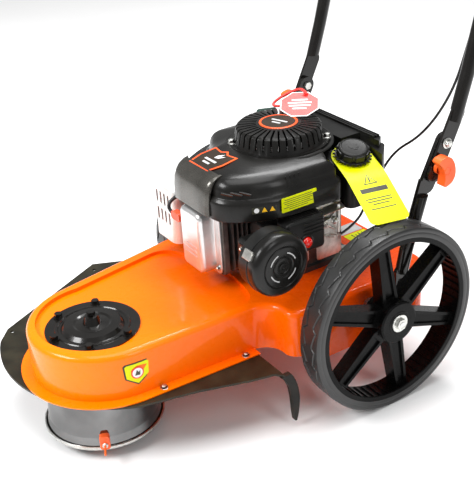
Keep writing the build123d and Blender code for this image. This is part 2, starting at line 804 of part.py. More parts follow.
BULB_Y, BULB_Z = 357.0, 318.0
with BuildPart() as carburettor:
    with BuildSketch(Plane.YZ.offset(57)):
        with Locations((324, 322)):
            RectangleRounded(42, 46, 6)
    extrude(amount=60)
save(carburettor, "carburettor")

with BuildPart() as carb_cover:
    with BuildSketch(Plane.YZ.offset(118)):
        with Locations((359, 329)):
            RectangleRounded(82, 66, 9)
    extrude(amount=32)
    chamfer(carb_cover.faces().sort_by(Axis.X)[-1].edges(), 4)
    with BuildSketch(Plane.YZ.offset(136)):
        with Locations((BULB_Y, BULB_Z)):
            Circle(11)
    extrude(amount=20, mode=Mode.SUBTRACT)
save(carb_cover, "carb_cover")

with BuildPart() as primer_bulb:
    with BuildSketch(Plane.YZ.offset(142)):
        with Locations((BULB_Y, BULB_Z)):
            Circle(11 - GAP)
    extrude(amount=16)
    fillet(primer_bulb.faces().sort_by(Axis.X)[-1].edges(), 6)
save(primer_bulb, "primer_bulb")

# ---------------------------------------------------------------- engine controls
LEVER_Y, LEVER_Z = 438.0, 326.0
with BuildPart() as control_bracket:
    with BuildSketch(Plane.YZ.offset(118)):
        with Locations((430, 307)):
            RectangleRounded(56, 110, 6)
    extrude(amount=2)
    with BuildSketch(Plane.YZ.offset(70)):
        with Locations((414, 290)):
            Rectangle(20, 30)
    extrude(amount=48)
    with BuildSketch(Plane.XY.offset(DECK_TOP)):
        with Locations((0, CRANK_Y)):
            Circle(CRANKCASE_R)
    extrude(amount=200, mode=Mode.SUBTRACT)
    with BuildSketch(Plane.YZ.offset(120)):
        with Locations((LEVER_Y, LEVER_Z)):
            Circle(3)
    extrude(amount=8)
save(control_bracket, "control_bracket")

with BuildPart() as brake_lever:
    with BuildSketch(Plane.YZ.offset(121.5)):
        with Locations((LEVER_Y - 6, LEVER_Z - 8)):
            SlotOverall(66, 16, rotation=52)
        with Locations((LEVER_Y, LEVER_Z)):
            Circle(3 + RUN, mode=Mode.SUBTRACT)
    extrude(amount=3)
save(brake_lever, "brake_lever")

# ---------------------------------------------------------------- lower handles
FOOT_X = DECK_SIDE_X + 0.4
LOWER_TUBE_X = 204.5
BOLT_R = 4.0


def outboard(s, x):
    """Upright plane facing away from the machine at distance x on side s."""
    return Plane(origin=(s * x, 0, 0), x_dir=(0, s, 0), z_dir=(s, 0, 0))


for side, s in SIDES:
    with BuildPart() as lower_handle:
        with BuildLine(Plane.YZ.offset(s * LOWER_TUBE_X)):
            tube_path = FilletPolyline((531, 219), (541, 264), (582, 388), radius=90)
        with BuildSketch(Plane(origin=tube_path @ 0, z_dir=tube_path % 0)):
            Circle(TUBE_R)
        sweep(path=tube_path)
        with BuildSketch(outboard(s, FOOT_X)):
            with Locations((s * 531, 206)):
                RectangleRounded(32, 52, 10)
        extrude(amount=8)
        with BuildSketch(outboard(s, 217)):
            with Locations((s * 606, 422)):
                Rectangle(140, 120)
        extrude(amount=-10.4, mode=Mode.SUBTRACT)
        with BuildSketch(outboard(s, 198.6)):
            with Locations((s * 605, 416)):
                SlotOverall(116, 34, rotation=s * 63.4)
            with Locations((s * PIVOT_Y, PIVOT_Z), (s * KNOB_Y, KNOB_Z)):
                Circle(BOLT_R, mode=Mode.SUBTRACT)
        extrude(amount=8)
    save(lower_handle, f"lower_handle_{side}")

with BuildPart() as handle_bolts:
    for s in (1, -1):
        for y, z, end in ((PIVOT_Y, PIVOT_Z, 217), (KNOB_Y, KNOB_Z, 228)):
            with BuildSketch(outboard(s, 198.6)):
                with Locations((s * y, z)):
                    Circle(BOLT_R)
            extrude(amount=end - 198.6)
            with BuildSketch(outboard(s, 198.6)):
                with Locations((s * y, z)):
                    RegularPolygon(8, 6)
            extrude(amount=-5)
        with BuildSketch(outboard(s, 213.1)):
            with Locations((s * PIVOT_Y, PIVOT_Z)):
                RegularPolygon(7.5, 6)
        extrude(amount=5)
        with BuildSketch(outboard(s, FOOT_X + 8)):
            with Locations((s * 531, 197)):
                RegularPolygon(9, 6)
        extrude(amount=6)
save(handle_bolts, "handle_bolts")

# ---------------------------------------------------------------- upper handle
PADDLE_X = 207.2
BAR_X = 210.0
BAR_Y, BAR_Z = 862.0, 927.0
PIN_Y, PIN_Z = 801.0, 838.0
BAIL_R = 4.0
BAIL_X = 180.0


def bar_points(s):
    return [(s * BAR_X, 641, 488), (s * BAR_X, 668, 573), (s * BAR_X, 700, 690), (s * 205, BAR_Y, BAR_Z)]


with BuildPart() as upper_handlebar:
    with BuildLine():
        bar_path = FilletPolyline(
            *bar_points(1),
            *reversed(bar_points(-1)),
            radius=[90, 120, 62, 62, 120, 90],
        )
    with BuildSketch(Plane(origin=bar_path @ 0, z_dir=bar_path % 0)):
        Circle(TUBE_R)
    sweep(path=bar_path)
    for s in (1, -1):
        with BuildSketch(outboard(s, 0)):
            with Locations((s * 632, 470)):
                Rectangle(110, 80)
        extrude(amount=PADDLE_X, mode=Mode.SUBTRACT)
        with BuildSketch(outboard(s, PADDLE_X)):
            with Locations((s * 622, 450)):
                SlotOverall(146, 31, rotation=s * 64)
            with Locations((s * PIVOT_Y, PIVOT_Z)):
                Circle(BOLT_R + RUN, mode=Mode.SUBTRACT)
        extrude(amount=5.6)
        with BuildSketch(outboard(s, PADDLE_X - 1)):
            with BuildLine():
                slot_arc = CenterArc(
                    (s * PIVOT_Y, PIVOT_Z),
                    hypot(PIVOT_Y - KNOB_Y, PIVOT_Z - KNOB_Z),
                    243.43 if s == 1 else 296.57,
                    -60 if s == 1 else 60,
                )
                offset(slot_arc, BOLT_R + 0.3)
            make_face()
        extrude(amount=8, mode=Mode.SUBTRACT)
        with BuildSketch(outboard(s, 188)):
            with Locations((s * PIN_Y, PIN_Z)):
                Circle(BAIL_R + RUN)
        extrude(amount=12, mode=Mode.SUBTRACT)
save(upper_handlebar, "upper_handlebar")

with BuildPart() as handle_grips:
    for s in (1, -1):
        with BuildSketch(Plane.YZ.offset(s * 62)):
            with Locations((BAR_Y, BAR_Z)):
                Circle(16.5)
                Circle(TUBE_R, mode=Mode.SUBTRACT)
        extrude(amount=s * 76)
save(handle_grips, "handle_grips")

BAIL_REACH = 107.0
BAIL_ANGLE = 102.6
with BuildPart() as bail_lever:
    bar_y = PIN_Y + BAIL_REACH * cos(radians(BAIL_ANGLE))
    bar_z = PIN_Z + BAIL_REACH * sin(radians(BAIL_ANGLE))
    with BuildLine():
        bail_path = FilletPolyline(
            (198, PIN_Y, PIN_Z),
            (BAIL_X, PIN_Y, PIN_Z),
            (BAIL_X, bar_y, bar_z),
            (-BAIL_X, bar_y, bar_z),
            (-BAIL_X, PIN_Y, PIN_Z),
            (-198, PIN_Y, PIN_Z),
            radius=[7, 14, 14, 7],
        )
    with BuildSketch(Plane(origin=bail_path @ 0, z_dir=bail_path % 0)):
        Circle(BAIL_R)
    sweep(path=bail_path)
save(bail_lever, "bail_lever")

for side, s in SIDES:
    with BuildPart() as knob:
        with BuildSketch(outboard(s, 213.3)):
            with Locations((s * KNOB_Y, KNOB_Z)):
                Circle(11)
        extrude(amount=8)
        with BuildSketch(outboard(s, 219)):
            with Locations((s * KNOB_Y, KNOB_Z)):
                RectangleRounded(24, 54, 10)
        extrude(amount=18)
        fillet(knob.faces().sort_by(Axis.X)[-1 if s == 1 else 0].edges(), 4)
        with BuildSketch(outboard(s, 213)):
            with Locations((s * KNOB_Y, KNOB_Z)):
                Circle(BOLT_R + RUN)
        extrude(amount=16, mode=Mode.SUBTRACT)
    save(knob, f"handle_knob_{side}")

# ---------------------------------------------------------------- control cable
LOWER_CABLE = [
    (124, 455, 292),
    (105, 508, 290),
    (72, 558, 305),
    (55, 604, 345),
    (72, 628, 392),
    (118, 642, 428),
    (160, 650, 482),
    (188, 662, 545),
]
UPPER_CABLE = [(188.2, 663, 548), (190, 682, 604), (190, 703, 662), (190, 733, 716), (188, 770, 768)]


def bend_radii(points):
    """Largest bends that keep a straight piece between neighbouring arcs."""
    radii = []
    for before, here, after in zip(points, points[1:], points[2:]):
        arriving = Vector(*here) - Vector(*before)
        leaving = Vector(*after) - Vector(*here)
        half_turn = radians(arriving.get_angle(leaving) / 2)
        run = min(arriving.length, leaving.length)
        radii.append(0.45 * run * cos(half_turn) / sin(half_turn))
    return radii


for points, node in ((LOWER_CABLE, "control_cable_lower"), (UPPER_CABLE, "control_cable_upper")):
    radii = bend_radii(points)
    with BuildPart() as cable:
        with BuildLine():
            cable_path = FilletPolyline(*points, radius=radii)
        with BuildSketch(Plane(origin=cable_path @ 0, z_dir=cable_path % 0)):
            Circle(CABLE_R)
        sweep(path=cable_path)
    print(node, "radii", [round(r, 1) for r in radii], "length", round(cable_path.length, 1))
    save(cable, node)
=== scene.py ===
import bmesh
import bpy
import json
from math import cos, pi, radians, sin, sqrt
from mathutils import Matrix, Vector

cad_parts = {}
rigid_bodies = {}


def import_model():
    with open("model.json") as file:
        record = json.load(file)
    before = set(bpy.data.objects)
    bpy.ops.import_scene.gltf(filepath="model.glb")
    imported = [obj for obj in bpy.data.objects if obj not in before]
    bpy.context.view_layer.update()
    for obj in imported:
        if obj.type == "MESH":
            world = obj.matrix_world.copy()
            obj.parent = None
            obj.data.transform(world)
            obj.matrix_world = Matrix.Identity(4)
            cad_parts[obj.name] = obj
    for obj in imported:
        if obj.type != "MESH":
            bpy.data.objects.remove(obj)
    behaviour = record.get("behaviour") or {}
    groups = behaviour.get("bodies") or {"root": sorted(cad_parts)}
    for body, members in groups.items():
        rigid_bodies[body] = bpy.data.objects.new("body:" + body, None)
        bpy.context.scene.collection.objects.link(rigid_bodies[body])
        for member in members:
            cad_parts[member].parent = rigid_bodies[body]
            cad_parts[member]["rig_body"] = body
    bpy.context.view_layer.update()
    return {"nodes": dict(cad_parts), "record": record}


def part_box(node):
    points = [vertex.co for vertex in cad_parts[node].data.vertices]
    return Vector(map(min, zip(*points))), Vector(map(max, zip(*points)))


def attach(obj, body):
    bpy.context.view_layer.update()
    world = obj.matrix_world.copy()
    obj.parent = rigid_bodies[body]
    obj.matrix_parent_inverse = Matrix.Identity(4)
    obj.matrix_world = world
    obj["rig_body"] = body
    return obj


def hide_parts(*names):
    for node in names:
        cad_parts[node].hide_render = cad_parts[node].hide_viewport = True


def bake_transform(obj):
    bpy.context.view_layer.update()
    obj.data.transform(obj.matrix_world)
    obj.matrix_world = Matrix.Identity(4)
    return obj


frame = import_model()
SLOT_OF = {part["node"]: part["material_slot"] for part in frame["record"]["subparts"]}

# Places and sizes are in millimetres: x to the operator's left, y back to the operator, z up.
MM = 0.001
AXLE = (457.0, 177.8)           # y and z of the axle
WHEEL_X = 253.5                 # middle plane of each wheel
AXLE_END_X = 284.5              # outer face of each hub
SPOKE_START = 39                # turn of the first of six spokes, in degrees
CRANK_Y = 411.0                 # crankshaft and starter
DECK_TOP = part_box("deck_shell")[1][2] / MM
NOSE = (-14, 29, 173)           # middle of the round nose of the deck, at the height of its label
NOSE_R = 138.0
FILTER = (178.3, 270, 321)      # middle of the joint between the filter's cup and its lid
BULB = (148, 357, 318)          # foot of the primer bulb
KNOB = (219.5, 603, 412)        # foot of the left clamping knob
FLAT_ANGLE = radians(1.5)       # facets that meet at less than this are one flat face
BEVEL_ANGLE = radians(30)       # edges sharper than this are rounded


# ------------------------------------------------------------------ materials
def node_tools(name):
    """A new material with a Principled shader, and a short way to add nodes to it."""
    mat = bpy.data.materials.new(name)
    mat.use_nodes = True
    tree = mat.node_tree
    shader = tree.nodes["Principled BSDF"]

    def add(kind, **values):
        node = tree.nodes.new(kind)
        for key, value in values.items():
            if hasattr(node, key):
                setattr(node, key, value)
            else:
                node.inputs[key.replace("_", " ")].default_value = value
        return node

    return mat, tree.links.new, shader, add


def look(name, dark, light, rough=(0.4, 0.5), metal=0.0, coat=0.0, mottle=30.0, grain=900.0, bump=0.15,
         depth=0.0002, coat_rough=0.06, specular=0.5):
    """A surface mottled between two colours, with a fine grain in its bump and its roughness."""
    mat, link, shader, add = node_tools(name)
    coords = add("ShaderNodeTexCoord")
    patches = add("ShaderNodeTexNoise", Scale=mottle, Detail=4.0)
    fine = add("ShaderNodeTexNoise", Scale=grain, Detail=3.0)
    link(coords.outputs["Object"], patches.inputs["Vector"])
    link(coords.outputs["Object"], fine.inputs["Vector"])
    ramp = add("ShaderNodeValToRGB")
    ramp.color_ramp.elements[0].position = 0.35
    ramp.color_ramp.elements[1].position = 0.68
    ramp.color_ramp.elements[0].color = (*dark, 1)
    ramp.color_ramp.elements[1].color = (*light, 1)
    link(patches.outputs["Fac"], ramp.inputs["Fac"])
    link(ramp.outputs["Color"], shader.inputs["Base Color"])
    spread = add("ShaderNodeMapRange")
    spread.inputs["To Min"].default_value = rough[0]
    spread.inputs["To Max"].default_value = rough[1]
    link(fine.outputs["Fac"], spread.inputs["Value"])
    link(spread.outputs["Result"], shader.inputs["Roughness"])
    bumps = add("ShaderNodeBump", Strength=bump, Distance=depth)
    link(fine.outputs["Fac"], bumps.inputs["Height"])
    link(bumps.outputs["Normal"], shader.inputs["Normal"])
    shader.inputs["Metallic"].default_value = metal
    shader.inputs["Coat Weight"].default_value = coat
    shader.inputs["Coat Roughness"].default_value = coat_rough
    shader.inputs["Specular IOR Level"].default_value = specular
    return mat


def deck_paint():
    """Deep glossy orange, paler towards the nose as painted light, with a slight orange peel under the clear
    coat.
    """
    mat, link, shader, add = node_tools("deck_orange")
    coords = add("ShaderNodeTexCoord")
    split = add("ShaderNodeSeparateXYZ")
    link(coords.outputs["Object"], split.inputs["Vector"])
    # painted light: the orange pales from the rear towards the nose along y
    along = add("ShaderNodeMapRange")
    along.inputs["From Min"].default_value = -0.13
    along.inputs["From Max"].default_value = 0.42
    link(split.outputs["Y"], along.inputs["Value"])
    ramp = add("ShaderNodeValToRGB")
    ramp.color_ramp.elements[0].color = (1.0, 0.225, 0.0, 1)
    ramp.color_ramp.elements[1].color = (1.0, 0.085, 0.0, 1)
    link(along.outputs["Result"], ramp.inputs["Fac"])
    link(ramp.outputs["Color"], shader.inputs["Base Color"])
    peel = add("ShaderNodeTexNoise", Scale=70.0, Detail=1.0)
    link(coords.outputs["Object"], peel.inputs["Vector"])
    bumps = add("ShaderNodeBump", Strength=0.03, Distance=0.0002)
    link(peel.outputs["Fac"], bumps.inputs["Height"])
    link(bumps.outputs["Normal"], shader.inputs["Normal"])
    spread = add("ShaderNodeMapRange")
    spread.inputs["To Min"].default_value = 0.22
    spread.inputs["To Max"].default_value = 0.34
    link(peel.outputs["Fac"], spread.inputs["Value"])
    link(spread.outputs["Result"], shader.inputs["Roughness"])
    shader.inputs["Specular IOR Level"].default_value = 0.12
    shader.inputs["Coat Weight"].default_value = 0.3
    shader.inputs["Coat Roughness"].default_value = 0.03
    return mat


LOOKS = {
    "deck_paint": deck_paint(),
    "skirt_plastic": look("skirt_sheet", (0.010, 0.009, 0.004), (0.026, 0.023, 0.012), (0.35, 0.5), bump=0.3,
                          specular=0.3),
    "zinc": look("zinc_plate", (0.55, 0.55, 0.52), (0.75, 0.75, 0.72), (0.22, 0.4), 1.0, mottle=160.0),
    "flap_rubber": look("flap_rubber", (0.006, 0.005, 0.003), (0.016, 0.013, 0.009), (0.45, 0.6), bump=0.4,
                        specular=0.3),
    "black_paint": look("black_enamel", (0.004, 0.0035, 0.003), (0.008, 0.007, 0.006), (0.16, 0.26), coat=0.3,
                        specular=0.3),
    "cast_alloy": look("cast_alloy", (0.06, 0.06, 0.058), (0.14, 0.14, 0.135), (0.4, 0.6), 0.8, bump=0.6,
                       grain=500.0, depth=0.0004),
    "steel": look("turned_steel", (0.4, 0.4, 0.4), (0.6, 0.6, 0.59), (0.2, 0.35), 1.0, mottle=120.0),
    "belt_rubber": look("belt_rubber", (0.018, 0.018, 0.018), (0.03, 0.03, 0.03), (0.6, 0.8)),
    "black_plastic": look("black_plastic", (0.004, 0.004, 0.004), (0.009, 0.009, 0.008), (0.3, 0.45),
                          bump=0.25, specular=0.3),
    "dark_chrome": look("dark_chrome", (0.09, 0.09, 0.09), (0.2, 0.2, 0.2), (0.06, 0.16), 1.0, mottle=9.0,
                        bump=0.04),
    "holder_orange": look("holder_orange", (0.85, 0.09, 0.015), (1.0, 0.16, 0.03), (0.3, 0.45)),
    "line_orange": look("line_orange", (0.85, 0.12, 0.02), (1.0, 0.2, 0.04), (0.2, 0.3)),
    "wheel_plastic": look("wheel_plastic", (0.002, 0.002, 0.002), (0.005, 0.005, 0.005), (0.22, 0.32),
                          bump=0.15, specular=0.1),
    "tyre": look("tyre_rubber", (0.008, 0.008, 0.008), (0.016, 0.016, 0.016), (0.28, 0.42), bump=0.3,
                 specular=0.6),
    "cover_silver": look("silver_cover", (0.62, 0.62, 0.62), (0.78, 0.78, 0.78), (0.26, 0.36), 0.8, bump=0.25,
                         coat=0.25),
    "boot_red": look("boot_rubber", (0.75, 0.05, 0.015), (0.9, 0.09, 0.02), (0.3, 0.45)),
    "muffler_steel": look("muffler_steel", (0.2, 0.19, 0.17), (0.34, 0.33, 0.3), (0.35, 0.6), 0.9, bump=0.3),
    "guard_silver": look("guard_silver", (0.7, 0.7, 0.68), (0.86, 0.86, 0.85), (0.25, 0.4), 0.35, bump=0.15,
                         coat=0.4),
    "black_gloss": look("shroud_black", (0.004, 0.0038, 0.0034), (0.009, 0.0085, 0.0075), (0.24, 0.34),
                        bump=0.18, coat=0.1, coat_rough=0.12, specular=0.25),
    "grip_green": look("grip_green", (0.003, 0.022, 0.014), (0.006, 0.04, 0.026), (0.25, 0.4)),
    "panel_silver": look("panel_grey", (0.05, 0.047, 0.04), (0.09, 0.085, 0.075), (0.22, 0.32), 0.6, bump=0.2,
                         coat=0.4),
    "tag_yellow": look("tag_yellow", (0.72, 0.78, 0.0), (0.82, 0.88, 0.0), (0.3, 0.42), mottle=60.0,
                       specular=0.2),
    "filter_foam": look("filter_foam", (0.3, 0.28, 0.22), (0.4, 0.37, 0.3), (0.8, 0.95), bump=0.9),
    "bulb_red": look("bulb_red", (0.7, 0.008, 0.004), (0.95, 0.014, 0.006), (0.15, 0.25), coat=0.5),
    "bracket_zinc": look("bracket_zinc", (0.5, 0.49, 0.45), (0.72, 0.71, 0.67), (0.22, 0.4), 0.95,
                         mottle=90.0),
    "grip_rubber": look("grip_rubber", (0.006, 0.006, 0.006), (0.014, 0.014, 0.014), (0.5, 0.7), bump=0.7,
                        specular=0.3),
    "knob_orange": look("knob_orange", (0.95, 0.1, 0.01), (1.0, 0.15, 0.02), (0.28, 0.4), bump=0.2),
    "cable_black": look("cable_sheath", (0.008, 0.008, 0.008), (0.016, 0.016, 0.016), (0.3, 0.45)),
}
BADGE_BROWN = look("badge_brown", (0.028, 0.017, 0.009), (0.042, 0.026, 0.014), (0.25, 0.35), 0.3)
BADGE_ORANGE = look("badge_orange", (0.85, 0.08, 0.01), (1.0, 0.13, 0.02), (0.3, 0.4))
PRINT_GREY = look("print_grey", (0.5, 0.5, 0.5), (0.65, 0.65, 0.65), (0.4, 0.5))
PRINT_DARK = look("print_dark", (0.02, 0.02, 0.01), (0.04, 0.04, 0.02), (0.4, 0.5))
PRINT_WHITE = look("print_white", (0.8, 0.8, 0.8), (0.9, 0.9, 0.9), (0.4, 0.5))
PRINT_RED = look("print_red", (0.8, 0.02, 0.02), (0.9, 0.04, 0.04), (0.35, 0.45))
TAG_RED = look("tag_red", (0.85, 0.035, 0.03), (0.95, 0.07, 0.06), (0.35, 0.45))
LABEL_AMBER = look("label_amber", (0.95, 0.5, 0.01), (1.0, 0.6, 0.02), (0.35, 0.45))

# The bolts of the spindle cover and the skirt are black. Every other node has the look of its slot.
for node, obj in frame["nodes"].items():
    obj.data.materials.clear()
    obj.data.materials.append(LOOKS["black_paint" if node == "cover_bolts" else SLOT_OF[node]])


# ------------------------------------------------------------------ mesh tools
def on(origin, along, normal):
    """A local frame in millimetres: u along, v across, w along the normal."""
    n = Vector(normal).normalized()
    a = Vector(along)
    a = (a - a.dot(n) * n).normalized()
    b = n.cross(a)
    o = Vector(origin)
    return lambda u, v, w=0.0: (o + a * u + b * v + n * w) * MM


def facing_up(x, y, z):
    return on((x, y, z), (1, 0, 0), (0, 0, 1))


def facing_left(x, y, z):
    """Outwards on the side of the engine that has the air filter."""
    return on((x, y, z), (0, 1, 0), (1, 0, 0))


def facing_front(x, y, z):
    return on((x, y, z), (1, 0, 0), (0, -1, 0))


def on_axle(s, x):
    """Outwards along the axle, from x: s is 1 on the left and -1 on the right."""
    return on((s * x, *AXLE), (0, 1, 0), (s, 0, 0))


def finish_piece(obj, body, slot, material, bevel, segments=2, sharp=32):
    """Shades a mesh, rounds its edges and hands it to its body and slot."""
    bpy.context.scene.collection.objects.link(obj)
    obj.data.materials.clear()
    obj.data.materials.append(material or LOOKS[slot])
    obj.data.shade_smooth()
    obj.data.set_sharp_from_angle(angle=radians(sharp))
    if bevel:
        mod = obj.modifiers.new("Edges", "BEVEL")
        mod.width = bevel * MM
        mod.segments = segments
        mod.limit_method = "ANGLE"
        mod.angle_limit = BEVEL_ANGLE
        mod.use_clamp_overlap = True
        mod.harden_normals = True
    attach(obj, body)
    return obj


def mesh_piece(name, verts, faces, body, slot, material=None, bevel=0.0, segments=2, sharp=32):
    """A mesh from points in metres, with its normals turned outwards."""
    data = bpy.data.meshes.new(name)
    data.from_pydata([tuple(v) for v in verts], [], faces)
    bm = bmesh.new()
    bm.from_mesh(data)
    bmesh.ops.remove_doubles(bm, verts=bm.verts, dist=1e-6)
    bmesh.ops.recalc_face_normals(bm, faces=bm.faces)
    bm.to_mesh(data)
    bm.free()
    return finish_piece(bpy.data.objects.new(name, data), body, slot, material, bevel, segments, sharp)


def slab(name, place, outline, low, high, body, slot, material=None, bevel=0.0, segments=2):
    """A flat plate with the given outline, from w = low to w = high."""
    n = len(outline)
    verts = [place(u, v, w) for w in (low, high) for u, v in outline]
    faces = [tuple(reversed(range(n))), tuple(range(n, 2 * n))]
    faces += [(i, (i + 1) % n, n + (i + 1) % n, n + i) for i in range(n)]
    return mesh_piece(name, verts, faces, body, slot, material, bevel, segments)


def turned_faces(steps, rows, closed):
    """Faces between neighbouring copies of a profile, all the way round."""
    faces = []
    for k in range(steps):
        m = (k + 1) % steps
        for i in range(rows if closed else rows - 1):
            j = (i + 1) % rows
            faces.append((k * rows + i, m * rows + i, m * rows + j, k * rows + j))
    return faces


def lathe(name, place, profile, body, slot, material=None, steps=72, closed=False):
    """A turned shape: profile is (radius, height) pairs along w."""
    verts = []
    for k in range(steps):
        a = 2 * pi * k / steps
        verts += [place(r * cos(a), r * sin(a), h) for r, h in profile]
    return mesh_piece(name, verts, turned_faces(steps, len(profile), closed), body, slot, material)


BRICK_FACES = ((0, 1, 5, 4), (1, 2, 6, 5), (2, 3, 7, 6), (3, 0, 4, 7), (3, 2, 1, 0), (4, 5, 6, 7))


def bricks_round(name, place, count, layers, body, slot, bevel=0.0):
    """Small blocks in a circle: each of the two layers is a height and its (radius, sideways) corners."""
    verts, faces = [], []
    for k in range(count):
        a = radians(360 / count * k)
        base = len(verts)
        for height, corners in layers:
            verts += [place(r * cos(a) - t * sin(a), r * sin(a) + t * cos(a), height) for r, t in corners]
        faces += [tuple(base + i for i in face) for face in BRICK_FACES]
    mesh_piece(name, verts, faces, body, slot, bevel=bevel)


def rod(name, points, radius, body, slot, material=None):
    """A round bar or wire on a smooth line, with points in millimetres as its control points."""
    curve = bpy.data.curves.new(name, "CURVE")
    curve.dimensions = "3D"
    curve.bevel_depth = radius * MM
    curve.bevel_resolution = 4
    curve.use_fill_caps = True
    spline = curve.splines.new("NURBS")
    spline.points.add(len(points) - 1)
    for point, place in zip(spline.points, points):
        point.co = (*(Vector(place) * MM), 1)
    spline.order_u = 3
    spline.use_endpoint_u = True
    spline.resolution_u = 8
    obj = bpy.data.objects.new(name, curve)
    bpy.context.scene.collection.objects.link(obj)
    curve.materials.append(material or LOOKS[slot])
    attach(obj, body)
    return obj


def bendable_rod(name, points, radius, slot):
    """The same bar as a free mesh, for a piece that crosses a joint."""
    curve = rod(name + "_route", points, radius, "chassis", slot)
    bpy.context.view_layer.update()
    data = bpy.data.meshes.new_from_object(curve)
    bpy.data.objects.remove(curve)
    obj = bpy.data.objects.new(name, data)
    bpy.context.scene.collection.objects.link(obj)
    data.shade_smooth()
    return obj


def ring_of(count, radius, start=0.0):
    """Outline of a regular polygon round the origin."""
    angles = [start + 2 * pi * k / count for k in range(count)]
    return [(radius * cos(a), radius * sin(a)) for a in angles]


def rounded(width, height, radius, steps=5):
    """Outline of a rectangle with round corners, centred on the origin."""
    points = []
    for cx, cy, a0 in ((1, 1, 0), (-1, 1, 90), (-1, -1, 180), (1, -1, 270)):
        for k in range(steps + 1):
            a = radians(a0 + 90 * k / steps)
            points.append((cx * (width / 2 - radius) + radius * cos(a),
                           cy * (height / 2 - radius) + radius * sin(a)))
    return points


def shifted(outline, du, dv):
    return [(u + du, v + dv) for u, v in outline]


def soften(node, width, segments=2):
    """Stands a copy with rounded edges in for a CAD node."""
    source = frame["nodes"][node]
    data = source.data.copy()
    bm = bmesh.new()
    bm.from_mesh(data)
    bmesh.ops.remove_doubles(bm, verts=bm.verts, dist=2e-6)
    bmesh.ops.dissolve_limit(bm, angle_limit=FLAT_ANGLE, verts=bm.verts, edges=bm.edges)
    bm.to_mesh(data)
    bm.free()
    obj = bpy.data.objects.new(node + "_finished", data)
    finish_piece(obj, source["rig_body"], SLOT_OF[node], None, width, segments)
    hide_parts(node)
    return obj


def bolt_head(name, place, size, height, body, washer=1.5):
    """Hexagon head with a low crown, on a round washer."""
    rim = size * 1.35
    lathe(name + "_washer", place, [(0, 0), (rim, 0), (rim, washer * 0.6), (size * 1.2, washer), (0, washer)],
          body, "zinc", steps=32)
    slab(name + "_hex", place, ring_of(6, size), washer, height, body, "zinc", bevel=size * 0.12)
    crown = [(size * 0.7, height - 0.2), (size * 0.5, height + size * 0.16), (0, height + size * 0.2)]
    lathe(name + "_crown", place, crown, body, "zinc", steps=24)


# ------------------------------------------------------------------ wheels
TYRE_WAVES = 30
TYRE_R = 177.6
TYRE_HALF = 25.0
CROWN_DROP = 0.9
GROOVE_DEPTH = 2.6
GROOVE_HALF = 1.5
FIN_PEAK = 0.8                  # part of a wave's length at which its fin stands highest


def tread_radius(theta, across):
    """A low crown cut by two rows of shark-fin waves, one each side of the middle."""
    crown = TYRE_R - CROWN_DROP * (across / TYRE_HALF) ** 4
    phase = (theta * TYRE_WAVES / (2 * pi)) % 1.0
    fin = phase ** 0.7 if phase < FIN_PEAK else (1.0 - phase) / 0.2 * FIN_PEAK ** 0.7
    for side in (1, -1):
        groove = side * (17.5 - 11.0 * fin)
        gap = abs(across - groove)
        if gap < GROOVE_HALF:
            crown -= GROOVE_DEPTH * (1 - gap / GROOVE_HALF) ** 0.5
    return crown


def build_tyre(side, s):
    place = on_axle(s, WHEEL_X)
    steps = TYRE_WAVES * 24
    across = [-23.2 + 46.4 * k / 58 for k in range(59)]
    verts = []
    for k in range(steps):
        a = 2 * pi * k / steps
        row = [(159.5, -24.6), (161.0, -25.0), (170.0, -25.0), (174.5, -24.6)]
        row += [(tread_radius(a, w), w) for w in across]
        row += [(174.5, 24.6), (170.0, 25.0), (168.5, 24.4), (167.5, 25.0), (161.0, 25.0), (159.5, 24.6)]
        verts += [place(r * cos(a), r * sin(a), w) for r, w in row]
    faces = turned_faces(steps, len(row), True)
    tyre = mesh_piece(f"treaded_tyre_{side}", verts, faces, f"{side}_wheel", "tyre", sharp=40)
    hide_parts(f"tyre_{side}")


def build_wheel_details(side, s):
    body = f"{side}_wheel"
    place = on_axle(s, WHEEL_X)
    soften(f"wheel_{side}", 1.6, 3)
    lip = [(150.0, 23.0), (151.0, 24.6), (159.6, 24.8), (159.6, 22.5), (152.0, 22.0)]
    lathe(f"rim_lip_{side}", place, lip, body, "wheel_plastic", steps=96, closed=True)
    rib = ((154.0, -0.7), (151.2, -0.5), (151.2, 0.5), (154.0, 0.7))
    bricks_round(f"rim_ribs_{side}", place, 60, ((-20.0, rib), (22.0, rib)), body, "wheel_plastic")
    disc = [(14, 29.5), (15, 31.0), (22, 31.2), (23, 30.3), (37, 30.0), (39.5, 28.5), (40, 25.0), (39, 23.0),
            (20, 22.5)]
    lathe(f"hub_disc_{side}", place, disc, body, "wheel_plastic", steps=64)
    for turn in range(6):
        a = radians(SPOKE_START + 30 + 60 * turn)
        boss = on(place(26 * cos(a), 26 * sin(a)) / MM, (0, 1, 0), (s, 0, 0))
        lathe(f"hub_boss_{side}_{turn}", boss, [(0, 15.5), (5, 15.5), (6.5, 14.0), (7, 10.0)], body,
              "wheel_plastic", steps=20)
    outer = on_axle(s, AXLE_END_X)
    lathe(f"axle_washer_{side}", outer, [(8.2, 2.0), (12, 2.6), (16.5, 2.2), (17, 1.0), (17, 0.2)], "chassis",
          "zinc", steps=40)
    lathe(f"axle_end_{side}", outer, [(0, 8.6), (5.2, 8.6), (5.6, 8.2), (6.0, 7.6), (8.0, 7.5)], "chassis",
          "zinc", steps=28)


for side, s in (("left", 1), ("right", -1)):
    build_tyre(side, s)
    build_wheel_details(side, s)


# ------------------------------------------------------------------ deck and trimmer head
def build_deck_details():
    for k, (x, y) in enumerate(((133, 60), (139, 225), (-178, 40), (-202, 190))):
        bolt_head(f"skirt_bolt_{k}", facing_up(x, y, 128.6), 5.5, 4.6, "chassis", washer=1.0)
    bead = [(60, 0.0), (61.5, 1.6), (63.5, 2.0), (65.5, 1.6), (67, 0.0)]
    lathe("cover_ring", facing_up(0, 0, 211.6), bead, "chassis", "black_paint", steps=96)


